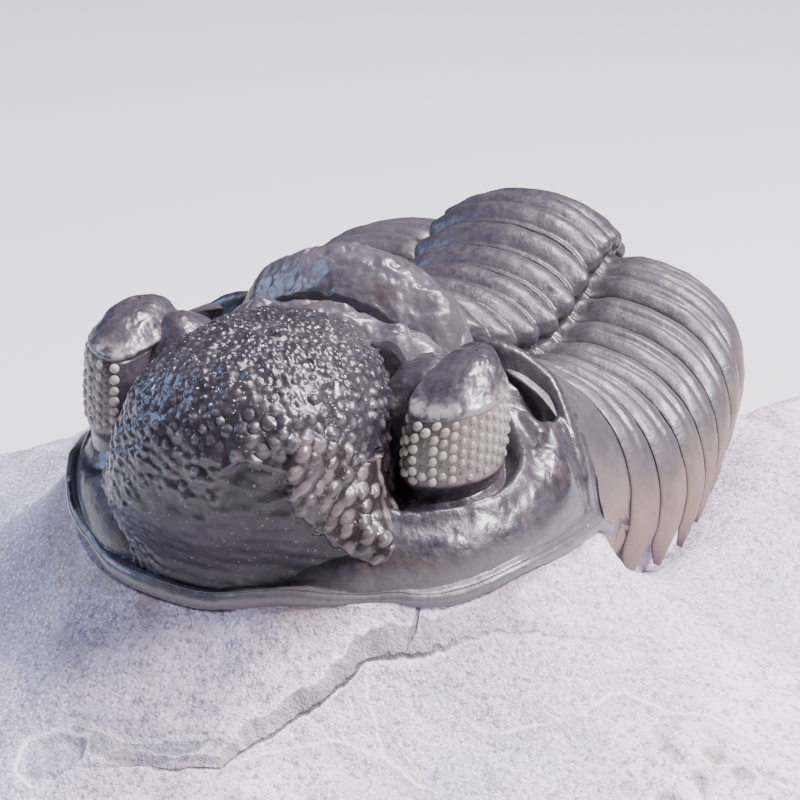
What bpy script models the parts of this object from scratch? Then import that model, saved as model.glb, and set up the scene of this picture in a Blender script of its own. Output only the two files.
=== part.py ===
"""A phacopid trilobite on the loose piece of limestone that it was prepared from.

The head faces -Y and the tail +Y, and the fossil's left side is +X. The stone's flat underside
is at Z = 0, with the origin under the middle of the stone. Named values are in millimetres,
in a fossil frame whose origin is at the rear of the head, level with its margin. to_world()
turns them into metres in the part's own frame.
"""

import math

import bmesh
import bpy
from mathutils import Vector, noise

MM = 0.001
GAP = 0.3
FLAT_ANGLE_DEGREES = 0.5

# The stone: how far it reaches in the fossil frame, and the level of its flat underside
STONE_X = (-45.0, 47.0)
STONE_Y = (-37.0, 45.0)
STONE_FLOOR = -25.0
STONE_SLOPE_LEFT = 0.3
STONE_SLOPE_RIGHT = 0.42
STONE_MIDDLE_Y = 5.0
STONE_SECTORS = 56
STONE_RING_SHARES = (0.0, 0.05, 0.13, 0.24, 0.38, 0.54, 0.72, 0.93)
FOOTPRINT_HALF_WIDTH = 12.0
TAIL_START_Y = 26.0
TAIL_END_Y = 34.0

# The crack across the front of the stone, from the fossil's right to its left
CRACK_LINE = (
    (-4.2, -24.6),
    (-0.8, -23.3),
    (1.6, -22.7),
    (4.4, -22.0),
    (5.4, -20.9),
    (6.2, -19.4),
    (7.4, -17.5),
    (9.4, -15.4),
    (11.9, -13.2),
    (14.8, -11.6),
    (17.6, -9.2),
    (20.5, -6.8),
    (24.5, -4.5),
)

# The head shield
HEAD_HALF_WIDTH = 14.6
HEAD_LENGTH = 15.8
HEAD_CORNER_Y = -0.4
HEAD_SQUARENESS = 2.4
RIM_HEIGHT = 2.4
RIM_LEFT_RISE = 1.1
BORDER_WIDTH = 1.0
BORDER_THICKNESS = 0.6
UNDERSIDE_HOLLOW = (0.0, -6.0, 1.2)
CHEEK_HEIGHT = 5.0
REAR_RIDGE_HEIGHT = 10.0
HEAD_REAR_Y = 0.6

# The glabella, the swollen middle of the head
GLABELLA_CENTRE = (0.0, -11.0, 5.6)
GLABELLA_HALF_WIDTH = 7.5
GLABELLA_FORWARD = 6.7
GLABELLA_BACKWARD = 9.0
GLABELLA_UP = 7.1
GLABELLA_DOWN = 6.0

# The rings behind the glabella: middle Y, half length, half width, height in the middle and at the ends
NECK_RING = (-1.2, 1.6, 6.3, 13.7, 10.2)
PREOCCIPITAL_RING = (-3.9, 1.1, 5.4, 13.0, 9.8)

# The compound eyes
EYE_CENTRE_X = 9.5
EYE_CENTRE_Y = -8.2
EYE_HALF_LENGTH = 3.8
EYE_OUTER_BULGE = 2.3
EYE_INNER_BULGE = 2.1
EYE_BOW = 0.08
LENS_BAND = (6.2, 9.8)
LENS_ROWS = 9
LENS_COLUMNS = 28
LENS_HEIGHT = 0.25
SADDLE_CENTRE = (7.2, -6.9, 6.4)
SADDLE_REACH = (2.8, 2.9, 3.2)

# The body: eleven plates, then the tail plate
PLATE_COUNT = 11
PLATE_PITCH = 2.4
BODY_START = 1.4
PLATE_THICKNESS = 1.2
TAIL_LENGTH = 8.5
AXIS_HALF_WIDTH = 5.3
AXIS_HEIGHT = 3.0
FLANK_WIDTH = 9.7
FLANK_TURN = math.radians(108.0)
FLANK_DROP = 9.7
FLANK_SWEEP = (2.6, 2.0)
LEAN_DEGREES = 16.0
RELIEF = 0.45

# The body's line from the neck to the tail: distance back, sideways place, height of the axial furrows
SPINE = (
    (0.0, 0.2, 8.6),
    (4.0, 0.8, 7.0),
    (8.0, 1.1, 6.6),
    (12.0, 1.0, 7.3),
    (16.0, 0.6, 8.5),
    (20.0, 0.0, 8.4),
    (24.0, -0.8, 7.1),
    (28.0, -1.6, 4.3),
    (32.0, -2.4, 1.6),
    (37.0, -3.3, -2.0),
)


def smoothstep(low, high, value):
    share = min(1.0, max(0.0, (value - low) / (high - low)))
    return share * share * (3.0 - 2.0 * share)


def through(points, column, distance):
    """A smooth curve through one column of a list of points."""
    last = len(points) - 2
    index = 0
    while index < last and distance > points[index + 1][0]:
        index += 1
    here = points[index]
    there = points[index + 1]
    before = points[max(index - 1, 0)]
    after = points[min(index + 2, last + 1)]
    span = there[0] - here[0]
    share = (distance - here[0]) / span
    slope_here = (there[column] - before[column]) / (there[0] - before[0]) * span
    slope_there = (after[column] - here[column]) / (after[0] - here[0]) * span
    squared = share * share
    cubed = squared * share
    return (
        here[column] * (2.0 * cubed - 3.0 * squared + 1.0)
        + slope_here * (cubed - 2.0 * squared + share)
        + there[column] * (3.0 * squared - 2.0 * cubed)
        + slope_there * (cubed - squared)
    )


def to_world(point):
    """Millimetres in the fossil frame to metres in the part's frame."""
    middle_x = (STONE_X[0] + STONE_X[1]) / 2.0
    middle_y = (STONE_Y[0] + STONE_Y[1]) / 2.0
    return (
        (point[0] - middle_x) * MM,
        (point[1] - middle_y) * MM,
        (point[2] - STONE_FLOOR) * MM,
    )


def make_material(name, colour, roughness):
    material = bpy.data.materials.new(name)
    material.use_nodes = True
    shader = material.node_tree.nodes["Principled BSDF"]
    shader.inputs["Base Color"].default_value = (*colour, 1.0)
    shader.inputs["Roughness"].default_value = roughness
    shader.inputs["Metallic"].default_value = 0.0
    return material


def make_object(name, points, faces, material):
    """One closed smooth-shaded mesh from points in the fossil frame."""
    shape = bmesh.new()
    corners = [shape.verts.new(to_world(point)) for point in points]
    for face in faces:
        shape.faces.new([corners[index] for index in face])
    bmesh.ops.recalc_face_normals(shape, faces=shape.faces)
    bmesh.ops.triangulate(shape, faces=shape.faces)
    mesh = bpy.data.meshes.new(name)
    shape.to_mesh(mesh)
    shape.free()
    mesh.shade_smooth()
    mesh.materials.append(material)
    made = bpy.data.objects.new(name, mesh)
    bpy.context.scene.collection.objects.link(made)
    return made


def join_solids(target, others):
    """Unites closed solids into the first one, with a crease where they meet."""
    for other in others:
        union = target.modifiers.new("join " + other.name, "BOOLEAN")
        union.operation = "UNION"
        union.solver = "EXACT"
        union.object = other
        other.hide_render = True
        other.display_type = "WIRE"
    tidy = target.modifiers.new("merge flat facets", "DECIMATE")
    tidy.decimate_type = "DISSOLVE"
    tidy.angle_limit = math.radians(FLAT_ANGLE_DEGREES)


def tube_faces(rings, ring_size):
    """Quads between rings of points that follow each other, with a cap at each end."""
    faces = [tuple(reversed(range(ring_size)))]
    for ring in range(rings - 1):
        start = ring * ring_size
        for index in range(ring_size):
            following = (index + 1) % ring_size
            faces.append(
                (start + index, start + following, start + ring_size + following, start + ring_size + index)
            )
    last = (rings - 1) * ring_size
    faces.append(tuple(range(last, last + ring_size)))
    return faces


def ball_form(name, subdivisions, place, material):
    """A closed ball whose points go where place() puts their directions."""
    ball = bmesh.new()
    bmesh.ops.create_icosphere(ball, subdivisions=subdivisions, radius=1.0)
    ball.verts.ensure_lookup_table()
    points = [place(vert.co.normalized()) for vert in ball.verts]
    faces = [tuple(vert.index for vert in face.verts) for face in ball.faces]
    ball.free()
    return make_object(name, points, faces, material)


# The head shield


def margin_height(x, y):
    """The level of the head's rim, which dips at the front and stands higher on the left side."""
    dip = 2.4 * smoothstep(-9.0, -16.5, y) + 1.7 * smoothstep(-7.5, -0.8, y)
    return RIM_HEIGHT - dip + RIM_LEFT_RISE * smoothstep(-1.0, 6.0, x)


def head_reach(x, y):
    """0 in the middle of the head and 1 on its front and side margin."""
    sideways = abs(x) / HEAD_HALF_WIDTH
    forward = max(0.0, HEAD_CORNER_Y - y) / HEAD_LENGTH
    return (sideways**HEAD_SQUARENESS + forward**HEAD_SQUARENESS) ** (1.0 / HEAD_SQUARENESS)


def front_margin(x):
    """The Y of the rim, a blunt arch that is drawn in where the cheeks meet the frontal lobe."""
    share = min(1.0, abs(x) / HEAD_HALF_WIDTH)
    arch = (1.0 - share**HEAD_SQUARENESS) ** (1.0 / HEAD_SQUARENESS)
    pinch = 1.1 * math.exp(-(((abs(x) - 8.4) / 2.2) ** 2))
    return HEAD_CORNER_Y - HEAD_LENGTH * arch + pinch


def rear_margin(x):
    """The Y of the rear edge, which runs forward to the corners of the cheeks."""
    return HEAD_REAR_Y - 1.8 * smoothstep(10.0, HEAD_HALF_WIDTH, abs(x))


def rear_ridge_height(x):
    """The crest of the ridge along the rear edge, from the neck ring down to the corner."""
    corner = margin_height(x, -1.0) + 0.2
    return corner + (REAR_RIDGE_HEIGHT - corner) * (1.0 - min(1.0, abs(x) / HEAD_HALF_WIDTH) ** 5.0)


def shield_height(x, y):
    """The cheek's surface; it runs out onto the rim at the rounded corners."""
    rim = margin_height(x, y)
    corner = smoothstep(0.93, 0.99, abs(x) / HEAD_HALF_WIDTH)
    return cheek_height(x, y, rim) * (1.0 - corner) + (rim + 0.15) * corner


def cheek_height(x, y, rim):
    inward = (1.0 - head_reach(x, y)) * HEAD_HALF_WIDTH
    if inward < BORDER_WIDTH:
        cheek = rim + 0.55 * math.sin(math.pi * max(0.0, inward) / BORDER_WIDTH)
    else:
        climb = 1.0 - math.exp(-((inward - BORDER_WIDTH) / 1.5) ** 1.4)
        cheek = rim + CHEEK_HEIGHT * climb
    behind = rear_margin(x) - y
    ridge = rear_ridge_height(x) - 1.3 * ((behind - 0.9) / 0.9) ** 2
    trough = min(cheek, rear_ridge_height(x) - 2.4)
    if behind < 1.8:
        return max(ridge, min(trough, ridge + 1.3), rim - 0.2)
    return trough + (cheek - trough) * smoothstep(1.8, 4.5, behind)


def make_shield(material):
    columns = 31
    rows = 13
    points = []
    for column in range(columns):
        angle = (column / (columns - 1) - 0.5) * math.pi * 0.96
        x = HEAD_HALF_WIDTH * math.sin(angle)
        front = front_margin(x)
        rear = rear_margin(x)
        for row in range(rows):
            share = 0.5 - 0.5 * math.cos(math.pi * row / (rows - 1))
            y = front + (rear - front) * share
            points.append((x, y, shield_height(x, y)))
    top_count = len(points)
    rim = [column * rows for column in range(columns)]
    rim += [(columns - 1) * rows + row for row in range(1, rows)]
    rim += [column * rows + rows - 1 for column in range(columns - 2, -1, -1)]
    rim += [row for row in range(rows - 2, 0, -1)]
    for index in rim:
        x, y, _ = points[index]
        points.append((x, y, margin_height(x, y) - BORDER_THICKNESS))
    hollow = len(points)
    points.append(UNDERSIDE_HOLLOW)
    faces = []
    for column in range(columns - 1):
        for row in range(rows - 1):
            corner = column * rows + row
            faces.append((corner, corner + rows, corner + rows + 1, corner + 1))
    for place, index in enumerate(rim):
        following = (place + 1) % len(rim)
        faces.append((index, rim[following], top_count + following, top_count + place))
        faces.append((top_count + place, top_count + following, hollow))
    return make_object("cephalon", points, faces, material)


def glabella_point(direction):
    """A point of the swollen lobe, from a unit direction: blunt in front, narrowing backwards."""
    sideways, along, upward = direction
    reach_y = GLABELLA_FORWARD if along < 0.0 else GLABELLA_BACKWARD
    reach_z = GLABELLA_UP if upward > 0.0 else GLABELLA_DOWN
    blunt = 2.7
    norm = (abs(sideways) ** blunt + abs(along) ** blunt + abs(upward) ** blunt) ** (1.0 / blunt)
    y = along / norm * reach_y
    taper = 1.0 - 0.4 * smoothstep(0.0, GLABELLA_BACKWARD, y)
    x = sideways / norm * GLABELLA_HALF_WIDTH * taper
    z = upward / norm * reach_z
    x *= 1.0 + 0.1 * smoothstep(3.0, -3.0, z)
    pebble = 0.16 * noise.noise(Vector((x * 1.3, y * 1.3, z * 1.3)))
    swell = 1.0 + pebble / GLABELLA_UP
    x = GLABELLA_CENTRE[0] + x * swell
    y = GLABELLA_CENTRE[1] + y * swell
    z = GLABELLA_CENTRE[2] + z * swell
    if head_reach(x, y) < 0.98:
        z = max(z, margin_height(x, y) - BORDER_THICKNESS / 2.0)
    return x, y, z


def make_glabella(material):
    return ball_form("glabella_form", 4, glabella_point, material)


def make_ring(name, measures, material):
    """An arched band across the back of the head."""
    middle, half_length, half_width, crown, ends = measures
    foot = 3.0
    stations = 15
    section = ((-1.0, None), (-1.0, 1.2), (-0.6, 0.35), (0.0, 0.0), (0.6, 0.3), (1.0, 1.1), (1.0, None))
    points = []
    for station in range(stations):
        share = 2.0 * station / (stations - 1) - 1.0
        x = half_width * share
        top = crown - (crown - ends) * abs(share) ** 2.3
        narrow = 1.0 - 0.35 * abs(share) ** 3
        for along, depth in section:
            z = foot if depth is None else top - depth
            points.append((x, middle + along * half_length * narrow, z))
    return make_object(name, points, tube_faces(stations, len(section)), material)


def eye_outline(angle, size, shift_y):
    """A point of the bean-shaped plan of an eye, before it is mirrored."""
    y = EYE_HALF_LENGTH * size * math.sin(angle) + shift_y
    bulge = EYE_OUTER_BULGE if math.cos(angle) > 0.0 else EYE_INNER_BULGE
    x = EYE_CENTRE_X - EYE_BOW * y * y + bulge * size * math.cos(angle)
    return x, EYE_CENTRE_Y + y


def make_eye(name, side, material):
    """An eye: a base, a wall of lenses in staggered rows, and a domed lid."""
    lens_low, lens_high = LENS_BAND
    levels = [(4.1, 1.0, 0.0, False), (lens_low - 0.35, 1.02, 0.0, False)]
    for row in range(LENS_ROWS):
        share = row / (LENS_ROWS - 1)
        size = 1.0 + 0.05 * math.sin(math.pi * share) - 0.05 * share
        levels.append((lens_low + (lens_high - lens_low) * share, size, 0.0, True))
    levels += [
        (lens_high + 0.45, 0.9, 0.1, False),
        (lens_high + 1.1, 0.76, 0.5, False),
        (lens_high + 1.6, 0.55, 0.9, False),
        (lens_high + 1.85, 0.25, 1.1, False),
    ]
    points = []
    for number, (z, size, shift_y, has_lenses) in enumerate(levels):
        for column in range(LENS_COLUMNS):
            angle = 2.0 * math.pi * (column + 0.5) / LENS_COLUMNS
            x, y = eye_outline(angle, size, shift_y)
            is_lens = has_lenses and number % 2 == 1 and (column + number // 2) % 2 == 0
            if is_lens and math.cos(angle) > -0.1:
                x += LENS_HEIGHT * math.cos(angle)
                y += LENS_HEIGHT * math.sin(angle)
            points.append((side * x, y, z))
    return make_object(name, points, tube_faces(len(levels), LENS_COLUMNS), material)


def make_lid_saddle(name, side, material):
    """The raised patch of cheek that ties an eye's lid to the glabella."""
    centre_x, centre_y, centre_z = SADDLE_CENTRE
    reach_x, reach_y, reach_z = SADDLE_REACH

    def place(direction):
        return (
            side * (centre_x + reach_x * direction.x),
            centre_y + reach_y * direction.y,
            centre_z + reach_z * direction.z,
        )

    return ball_form(name, 2, place, material)


def make_cephalon(material):
    shield = make_shield(material)
    forms = [
        make_glabella(material),
        make_ring("neck_ring_form", NECK_RING, material),
        make_ring("preoccipital_ring_form", PREOCCIPITAL_RING, material),
    ]
    for label, side in (("left", 1), ("right", -1)):
        forms.append(make_lid_saddle("lid_saddle_form_" + label, side, material))
        forms.append(make_eye("eye_form_" + label, side, material))
    join_solids(shield, forms)
    return shield


# The body plates


def flank_section(place, width_share, drop_share):
    """The body's cross-section: place 0 is the crest, 1 the axial furrow and 2 the tip of the flank.

    It gives the sideways distance, the height over the furrow and how far the tip has swept forward.
    """
    side = -1.0 if place < 0.0 else 1.0
    place = abs(place)
    if place <= 1.0:
        angle = place * math.pi / 2.0
        across = AXIS_HALF_WIDTH * width_share * math.sin(angle)
        return side * across, AXIS_HEIGHT * width_share * math.cos(angle) ** 0.9, 0.0
    turn = (place - 1.0) * FLANK_TURN
    across = (AXIS_HALF_WIDTH + FLANK_WIDTH * math.sin(turn) ** 0.9) * width_share
    upward = -FLANK_DROP * drop_share * (1.0 - math.cos(turn)) ** 1.15 / (1.0 - math.cos(FLANK_TURN)) ** 1.15
    return side * across, upward, (place - 1.0) ** 2.5


def section_normal(place, width_share, drop_share):
    step = 0.02
    low = flank_section(max(-2.0, place - step), width_share, drop_share)
    high = flank_section(min(2.0, place + step), width_share, drop_share)
    across = high[0] - low[0]
    upward = high[1] - low[1]
    length = math.hypot(across, upward)
    return -upward / length, across / length


def body_width(distance):
    """The body's breadth against its widest, which is at the fifth plate."""
    return 0.93 + 0.07 * smoothstep(0.0, 9.0, distance) - 0.17 * smoothstep(15.0, 32.0, distance)


def body_drop(distance):
    """How far the flanks hang, against the deepest."""
    return 1.0 + 0.08 * smoothstep(8.0, 0.0, distance) - 0.24 * smoothstep(5.0, 30.0, distance)


def body_point(distance, place, lift, width_share=None, drop_share=None):
    """A point on the body, lifted off its cross-section by some millimetres."""
    width_share = body_width(distance) if width_share is None else width_share
    drop_share = body_drop(distance) if drop_share is None else drop_share
    across, upward, swept = flank_section(place, width_share, drop_share)
    out_x, out_z = section_normal(place, width_share, drop_share)
    across += out_x * lift
    upward += out_z * lift
    lean = math.radians(LEAN_DEGREES) * smoothstep(4.0, 38.0, distance)
    sweep = FLANK_SWEEP[0] + (FLANK_SWEEP[1] - FLANK_SWEEP[0]) * smoothstep(0.0, 9.0, distance)
    return (
        through(SPINE, 1, distance) + across,
        BODY_START + distance - sweep * swept + math.sin(lean) * upward,
        through(SPINE, 2, distance) + math.cos(lean) * upward,
    )


PLATE_PLACES = (1.0, 0.86, 0.68, 0.48, 0.28, 0.12)
AXIS_PLACES = (1.0, 0.84, 0.6, 0.3)
SECTION_PLACES = (
    [-1.0 - place for place in PLATE_PLACES]
    + [-place for place in AXIS_PLACES]
    + [0.0]
    + [place for place in reversed(AXIS_PLACES)]
    + [1.0 + place for place in reversed(PLATE_PLACES)]
)


def plate_lift(place, share):
    """The relief along a plate from its front edge, share 0, to its rear edge, share 1."""
    swell = math.sin(math.pi * share)
    if abs(place) < 1.0:
        return RELIEF * (1.7 * swell - 1.0) - 0.25 * (1.0 - share)
    fade = 1.0 - 0.5 * (abs(place) - 1.0)
    groove = 0.25 if abs(place) == 1.0 else 0.0
    return fade * RELIEF * (1.4 * swell - 0.7) - groove


def make_plate(number, material):
    start = number * PLATE_PITCH
    length = PLATE_PITCH - GAP
    points = []
    for place in SECTION_PLACES:
        tip = smoothstep(1.72, 2.0, abs(place))
        squeeze = 1.0 - 0.5 * tip
        shares = [0.5 + (share - 0.5) * squeeze for share in (0.0, 0.28, 0.7, 1.0)]
        for share in shares:
            points.append(body_point(start + share * length, place, plate_lift(place, share)))
        for share in (shares[-1], shares[0]):
            points.append(body_point(start + share * length, place, -PLATE_THICKNESS))
    faces = tube_faces(len(SECTION_PLACES), 6)
    return make_object(f"thorax_segment_{number + 1:02d}", points, faces, material)


def make_pygidium(material):
    start = PLATE_COUNT * PLATE_PITCH
    rows = 8
    outer = []
    inner = []
    for row in range(rows):
        share = row / (rows - 1)
        distance = start + TAIL_LENGTH * math.sin(share * math.pi / 2.0)
        size = max(0.12, math.cos(share * math.pi / 2.0))
        width = body_width(start) * size**0.8
        drop = body_drop(start) * size**0.6
        ripple = 0.5 * RELIEF * math.cos(2.0 * math.pi * row / 3.0) * (1.0 - share)
        for place in SECTION_PLACES:
            outer.append(body_point(distance, place, ripple, width, drop))
            thinning = max(0.15, size)
            inner.append(body_point(distance - 0.6 * share, place, -PLATE_THICKNESS * thinning, width, drop))
    count = len(SECTION_PLACES)
    points = outer + inner
    offset = len(outer)
    faces = []
    for row in range(rows - 1):
        for column in range(count - 1):
            corner = row * count + column
            faces.append((corner, corner + 1, corner + count + 1, corner + count))
            under = corner + offset
            faces.append((under, under + count, under + count + 1, under + 1))
    rim = list(range(count))
    rim += [row * count + count - 1 for row in range(1, rows)]
    rim += [(rows - 1) * count + column for column in range(count - 2, -1, -1)]
    rim += [row * count for row in range(rows - 2, 0, -1)]
    for place, index in enumerate(rim):
        following = rim[(place + 1) % len(rim)]
        faces.append((index, index + offset, following + offset, following))
    return make_object("pygidium", points, faces, material)


# The stone


def stone_fall(distance):
    """How far the mound has dropped at a distance outside the fossil."""
    return 5.0 * (1.0 - math.exp(-distance / 5.0)) + 0.32 * distance


def mound_height(x, y):
    """The stone's upper surface: a step under the head, lower beside the body."""
    outside = max(0.0, head_reach(x, y) - 1.0) * HEAD_HALF_WIDTH
    outside += 2.5 * math.exp(-outside / 4.0) * max(0.0, y - rear_margin(x) + 3.0)
    under_head = margin_height(x, y) - BORDER_THICKNESS - 0.4
    head_part = under_head - stone_fall(outside)
    distance = min(max(y, 0.0), 31.0)
    beside = abs(x - through(SPINE, 1, distance)) - FOOTPRINT_HALF_WIDTH
    ends = max(0.0, -y - 1.0) + max(0.0, y - 33.0)
    away = math.hypot(max(0.0, beside), ends)
    reach = distance + 1.5 * smoothstep(8.0, 20.0, distance)
    past = max(0.0, reach - PLATE_COUNT * PLATE_PITCH) / TAIL_LENGTH
    hang = max(0.0, 1.0 - past * past) ** 0.3
    tip = through(SPINE, 2, reach) - FLANK_DROP * body_drop(reach) * hang - 1.0
    if x > 0.0:
        body_part = tip + 2.2 * smoothstep(0.8, 5.0, beside) - STONE_SLOPE_LEFT * away
    else:
        body_part = tip - 1.3 * smoothstep(0.0, 6.0, beside) - STONE_SLOPE_RIGHT * away
    blend = 1.2
    return blend * math.log(math.exp(head_part / blend) + math.exp(body_part / blend)) - 0.3


def inside_footprint(x, y):
    """Whether the fossil stands over this point of the stone."""
    if y < HEAD_REAR_Y:
        return head_reach(x, y) < 1.0
    if y > TAIL_END_Y:
        return False
    past = max(0.0, y - TAIL_START_Y) / (TAIL_END_Y - TAIL_START_Y)
    return abs(x - through(SPINE, 1, y)) < FOOTPRINT_HALF_WIDTH * math.sqrt(1.0 - past * past)


def footprint_reach(direction_x, direction_y):
    """How far the fossil's footprint reaches from the stone's middle in one direction."""
    low = 0.0
    high = 50.0
    for _ in range(14):
        middle = (low + high) / 2.0
        if inside_footprint(direction_x * middle, STONE_MIDDLE_Y + direction_y * middle):
            low = middle
        else:
            high = middle
    return low


def stone_reach(direction_x, direction_y, angle):
    """How far the block's broken edge lies from the stone's middle in one direction."""
    half_x = STONE_X[1] if direction_x > 0.0 else -STONE_X[0]
    half_y = STONE_Y[1] - STONE_MIDDLE_Y if direction_y > 0.0 else STONE_MIDDLE_Y - STONE_Y[0]
    blunt = 2.8
    norm = (abs(direction_x) / half_x) ** blunt + (abs(direction_y) / half_y) ** blunt
    wobble = 0.5 + 0.5 * noise.noise(Vector((2.3 * math.cos(angle), 2.3 * math.sin(angle), 4.0)))
    keep = max(abs(direction_x), abs(direction_y)) ** 8
    return norm ** (-1.0 / blunt) * (1.0 - 0.16 * wobble * (1.0 - keep))


def make_mound(material):
    """The block: rings of points from under the fossil, over the broken edge, to the flat base."""
    rays = []
    for sector in range(STONE_SECTORS):
        angle = 2.0 * math.pi * sector / STONE_SECTORS
        direction = (math.cos(angle), math.sin(angle))
        rays.append((*direction, footprint_reach(*direction), stone_reach(*direction, angle)))
    points = [(0.0, STONE_MIDDLE_Y, -4.0)]
    for direction_x, direction_y, near, _ in rays:
        x = direction_x * near * 0.85
        y = STONE_MIDDLE_Y + direction_y * near * 0.85
        points.append((x, y, mound_height(x, y) - 1.5))
    for ring, share in enumerate(STONE_RING_SHARES):
        for sector, (direction_x, direction_y, near, far) in enumerate(rays):
            jitter = 0.3 * noise.noise(Vector((sector * 1.7, ring * 2.3, 7.0))) * share * (0.93 - share)
            reach = near + (far - near) * (share + jitter)
            x = direction_x * reach
            y = STONE_MIDDLE_Y + direction_y * reach
            lump = 1.3 * noise.noise(Vector((x * 0.11, y * 0.11, 1.0)))
            lump += 0.5 * noise.noise(Vector((x * 0.35, y * 0.35, 5.0)))
            points.append((x, y, mound_height(x, y) + lump * smoothstep(0.1, 0.35, share)))
    brink = [point[2] for point in points[-STONE_SECTORS:]]
    for share, swell in ((0.3, 0.985), (0.75, 1.0), (1.0, 0.95)):
        for sector, (direction_x, direction_y, _, far) in enumerate(rays):
            chip = 0.02 * noise.noise(Vector((sector * 0.9, share * 9.0, 3.0))) if swell < 1.0 else 0.0
            reach = far * (swell + chip)
            z = brink[sector] + (STONE_FLOOR - brink[sector]) * share
            points.append((direction_x * reach, STONE_MIDDLE_Y + direction_y * reach, z))
    faces = []
    for sector in range(STONE_SECTORS):
        faces.append((0, 1 + sector, 1 + (sector + 1) % STONE_SECTORS))
    ring_count = len(STONE_RING_SHARES) + 4
    for ring in range(ring_count - 1):
        start = 1 + ring * STONE_SECTORS
        for sector in range(STONE_SECTORS):
            following = (sector + 1) % STONE_SECTORS
            faces.append(
                (
                    start + sector,
                    start + STONE_SECTORS + sector,
                    start + STONE_SECTORS + following,
                    start + following,
                )
            )
    last = 1 + (ring_count - 1) * STONE_SECTORS
    faces.append(tuple(range(last, last + STONE_SECTORS)))
    return make_object("matrix", points, faces, material)


def make_ledge(material):
    """The layer of stone in front of the fossil, raised along the crack that ends it."""
    distances = (0.0, 2.5, 6.0, 11.0)
    raises = (0.55, 0.5, 0.3, 0.05)
    points = []
    for index, (x, y) in enumerate(CRACK_LINE):
        before = CRACK_LINE[max(index - 1, 0)]
        after = CRACK_LINE[min(index + 1, len(CRACK_LINE) - 1)]
        along_x = after[0] - before[0]
        along_y = after[1] - before[1]
        length = math.hypot(along_x, along_y)
        away_x = along_y / length
        away_y = -along_x / length
        fade = math.sin(math.pi * (index + 0.3) / (len(CRACK_LINE) - 0.4)) ** 0.4
        ring = []
        for distance, rise in zip(distances, raises):
            here = (x + away_x * distance, y + away_y * distance)
            ring.append((here[0], here[1], mound_height(*here) + rise * fade))
        ring.append((ring[-1][0], ring[-1][1], ring[-1][2] - 3.0))
        ring.append((x, y, ring[0][2] - 3.0))
        points += ring
    return make_object("ledge_form", points, tube_faces(len(CRACK_LINE), len(distances) + 2), material)


def make_core(material):
    """The stone that fills the body under its plates."""
    depth = PLATE_THICKNESS + GAP + 0.35
    foot = -12.0
    points = []
    stations = 12
    places = [place * 0.9 for place in SECTION_PLACES]
    for station in range(stations):
        share = station / (stations - 1)
        distance = 0.8 + (PLATE_COUNT * PLATE_PITCH + 0.66 * TAIL_LENGTH - 0.8) * share
        reach = distance + FLANK_SWEEP[1]
        past = max(0.0, reach - PLATE_COUNT * PLATE_PITCH) / TAIL_LENGTH
        size = math.sqrt(1.0 - past * past)
        width = body_width(reach) * size**0.8 - 0.02
        drop = body_drop(reach) * size**0.6
        ring = [body_point(distance, place, -depth, width, drop) for place in places]
        ring = [(x, max(y, HEAD_REAR_Y + GAP + 0.2), z) for x, y, z in ring]
        ring.append((ring[-1][0], ring[-1][1], foot))
        ring.append((ring[0][0], ring[0][1], foot))
        points += ring
    return make_object("core_form", points, tube_faces(stations, len(places) + 2), material)


def make_matrix(material):
    mound = make_mound(material)
    join_solids(mound, [make_core(material), make_ledge(material)])
    return mound


def main():
    for leftover in list(bpy.data.objects):
        bpy.data.objects.remove(leftover, do_unlink=True)
    shell = make_material("fossil_shell", (0.09, 0.08, 0.085), 0.35)
    stone = make_material("pale_limestone", (0.56, 0.53, 0.58), 0.85)
    make_matrix(stone)
    make_cephalon(shell)
    for number in range(PLATE_COUNT):
        make_plate(number, shell)
    make_pygidium(shell)


main()
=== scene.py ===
import itertools
import math

import bpy
import numpy as np
from mathutils import Matrix, Vector, kdtree, noise


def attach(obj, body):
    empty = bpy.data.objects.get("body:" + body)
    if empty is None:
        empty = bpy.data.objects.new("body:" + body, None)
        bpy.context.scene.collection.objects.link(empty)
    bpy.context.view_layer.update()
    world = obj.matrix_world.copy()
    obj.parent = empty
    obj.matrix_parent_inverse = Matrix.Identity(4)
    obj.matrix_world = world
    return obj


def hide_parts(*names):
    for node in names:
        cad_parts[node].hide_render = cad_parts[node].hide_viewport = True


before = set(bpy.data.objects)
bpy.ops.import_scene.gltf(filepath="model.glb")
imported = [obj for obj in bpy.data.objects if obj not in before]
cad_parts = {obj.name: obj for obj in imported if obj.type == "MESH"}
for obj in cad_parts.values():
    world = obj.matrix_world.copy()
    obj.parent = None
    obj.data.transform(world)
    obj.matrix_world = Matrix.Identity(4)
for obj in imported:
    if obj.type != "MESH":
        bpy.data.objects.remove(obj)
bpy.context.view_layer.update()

# Lengths are in millimetres in the fossil frame: origin at the rear of the head, level with its
# margin, the head facing -Y and the fossil's left side at +X. STONE_ORIGIN is the part's own
# origin in that frame.
MM = 0.001
STONE_ORIGIN = np.array((1.0, 4.0, -25.0))
SEED = 7

# Rows and columns of each piece's mesh.
CHEEK_GRID = (380, 182)
LOBE_GRID = (238, 360)
RING_GRID = (210, 84)
SIDE_LOBE_GRID = (48, 62)
EYE_GRID = (122, 172)
SADDLE_GRID = (80, 110)
DOME_GRID = (6, 18)
PLATE_GRID = (230, 26)
TAIL_GRID = (100, 190)
CORE_GRID = (70, 80)
STONE_GRID = (166, 430)
STONE_SIDE_ROWS = 28
SIDES = {1: "left", -1: "right"}

STONE_X = (-45.0, 47.0)
STONE_Y = (-37.0, 45.0)
STONE_FLOOR = -25.0
STONE_SLOPE_LEFT = 0.3
STONE_SLOPE_RIGHT = 0.47
STONE_MIDDLE_Y = 5.0
STONE_BLUNTNESS = 2.8
FOOTPRINT_HALF_WIDTH = 12.0
TAIL_START_Y = 26.0
TAIL_END_Y = 34.0

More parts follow.
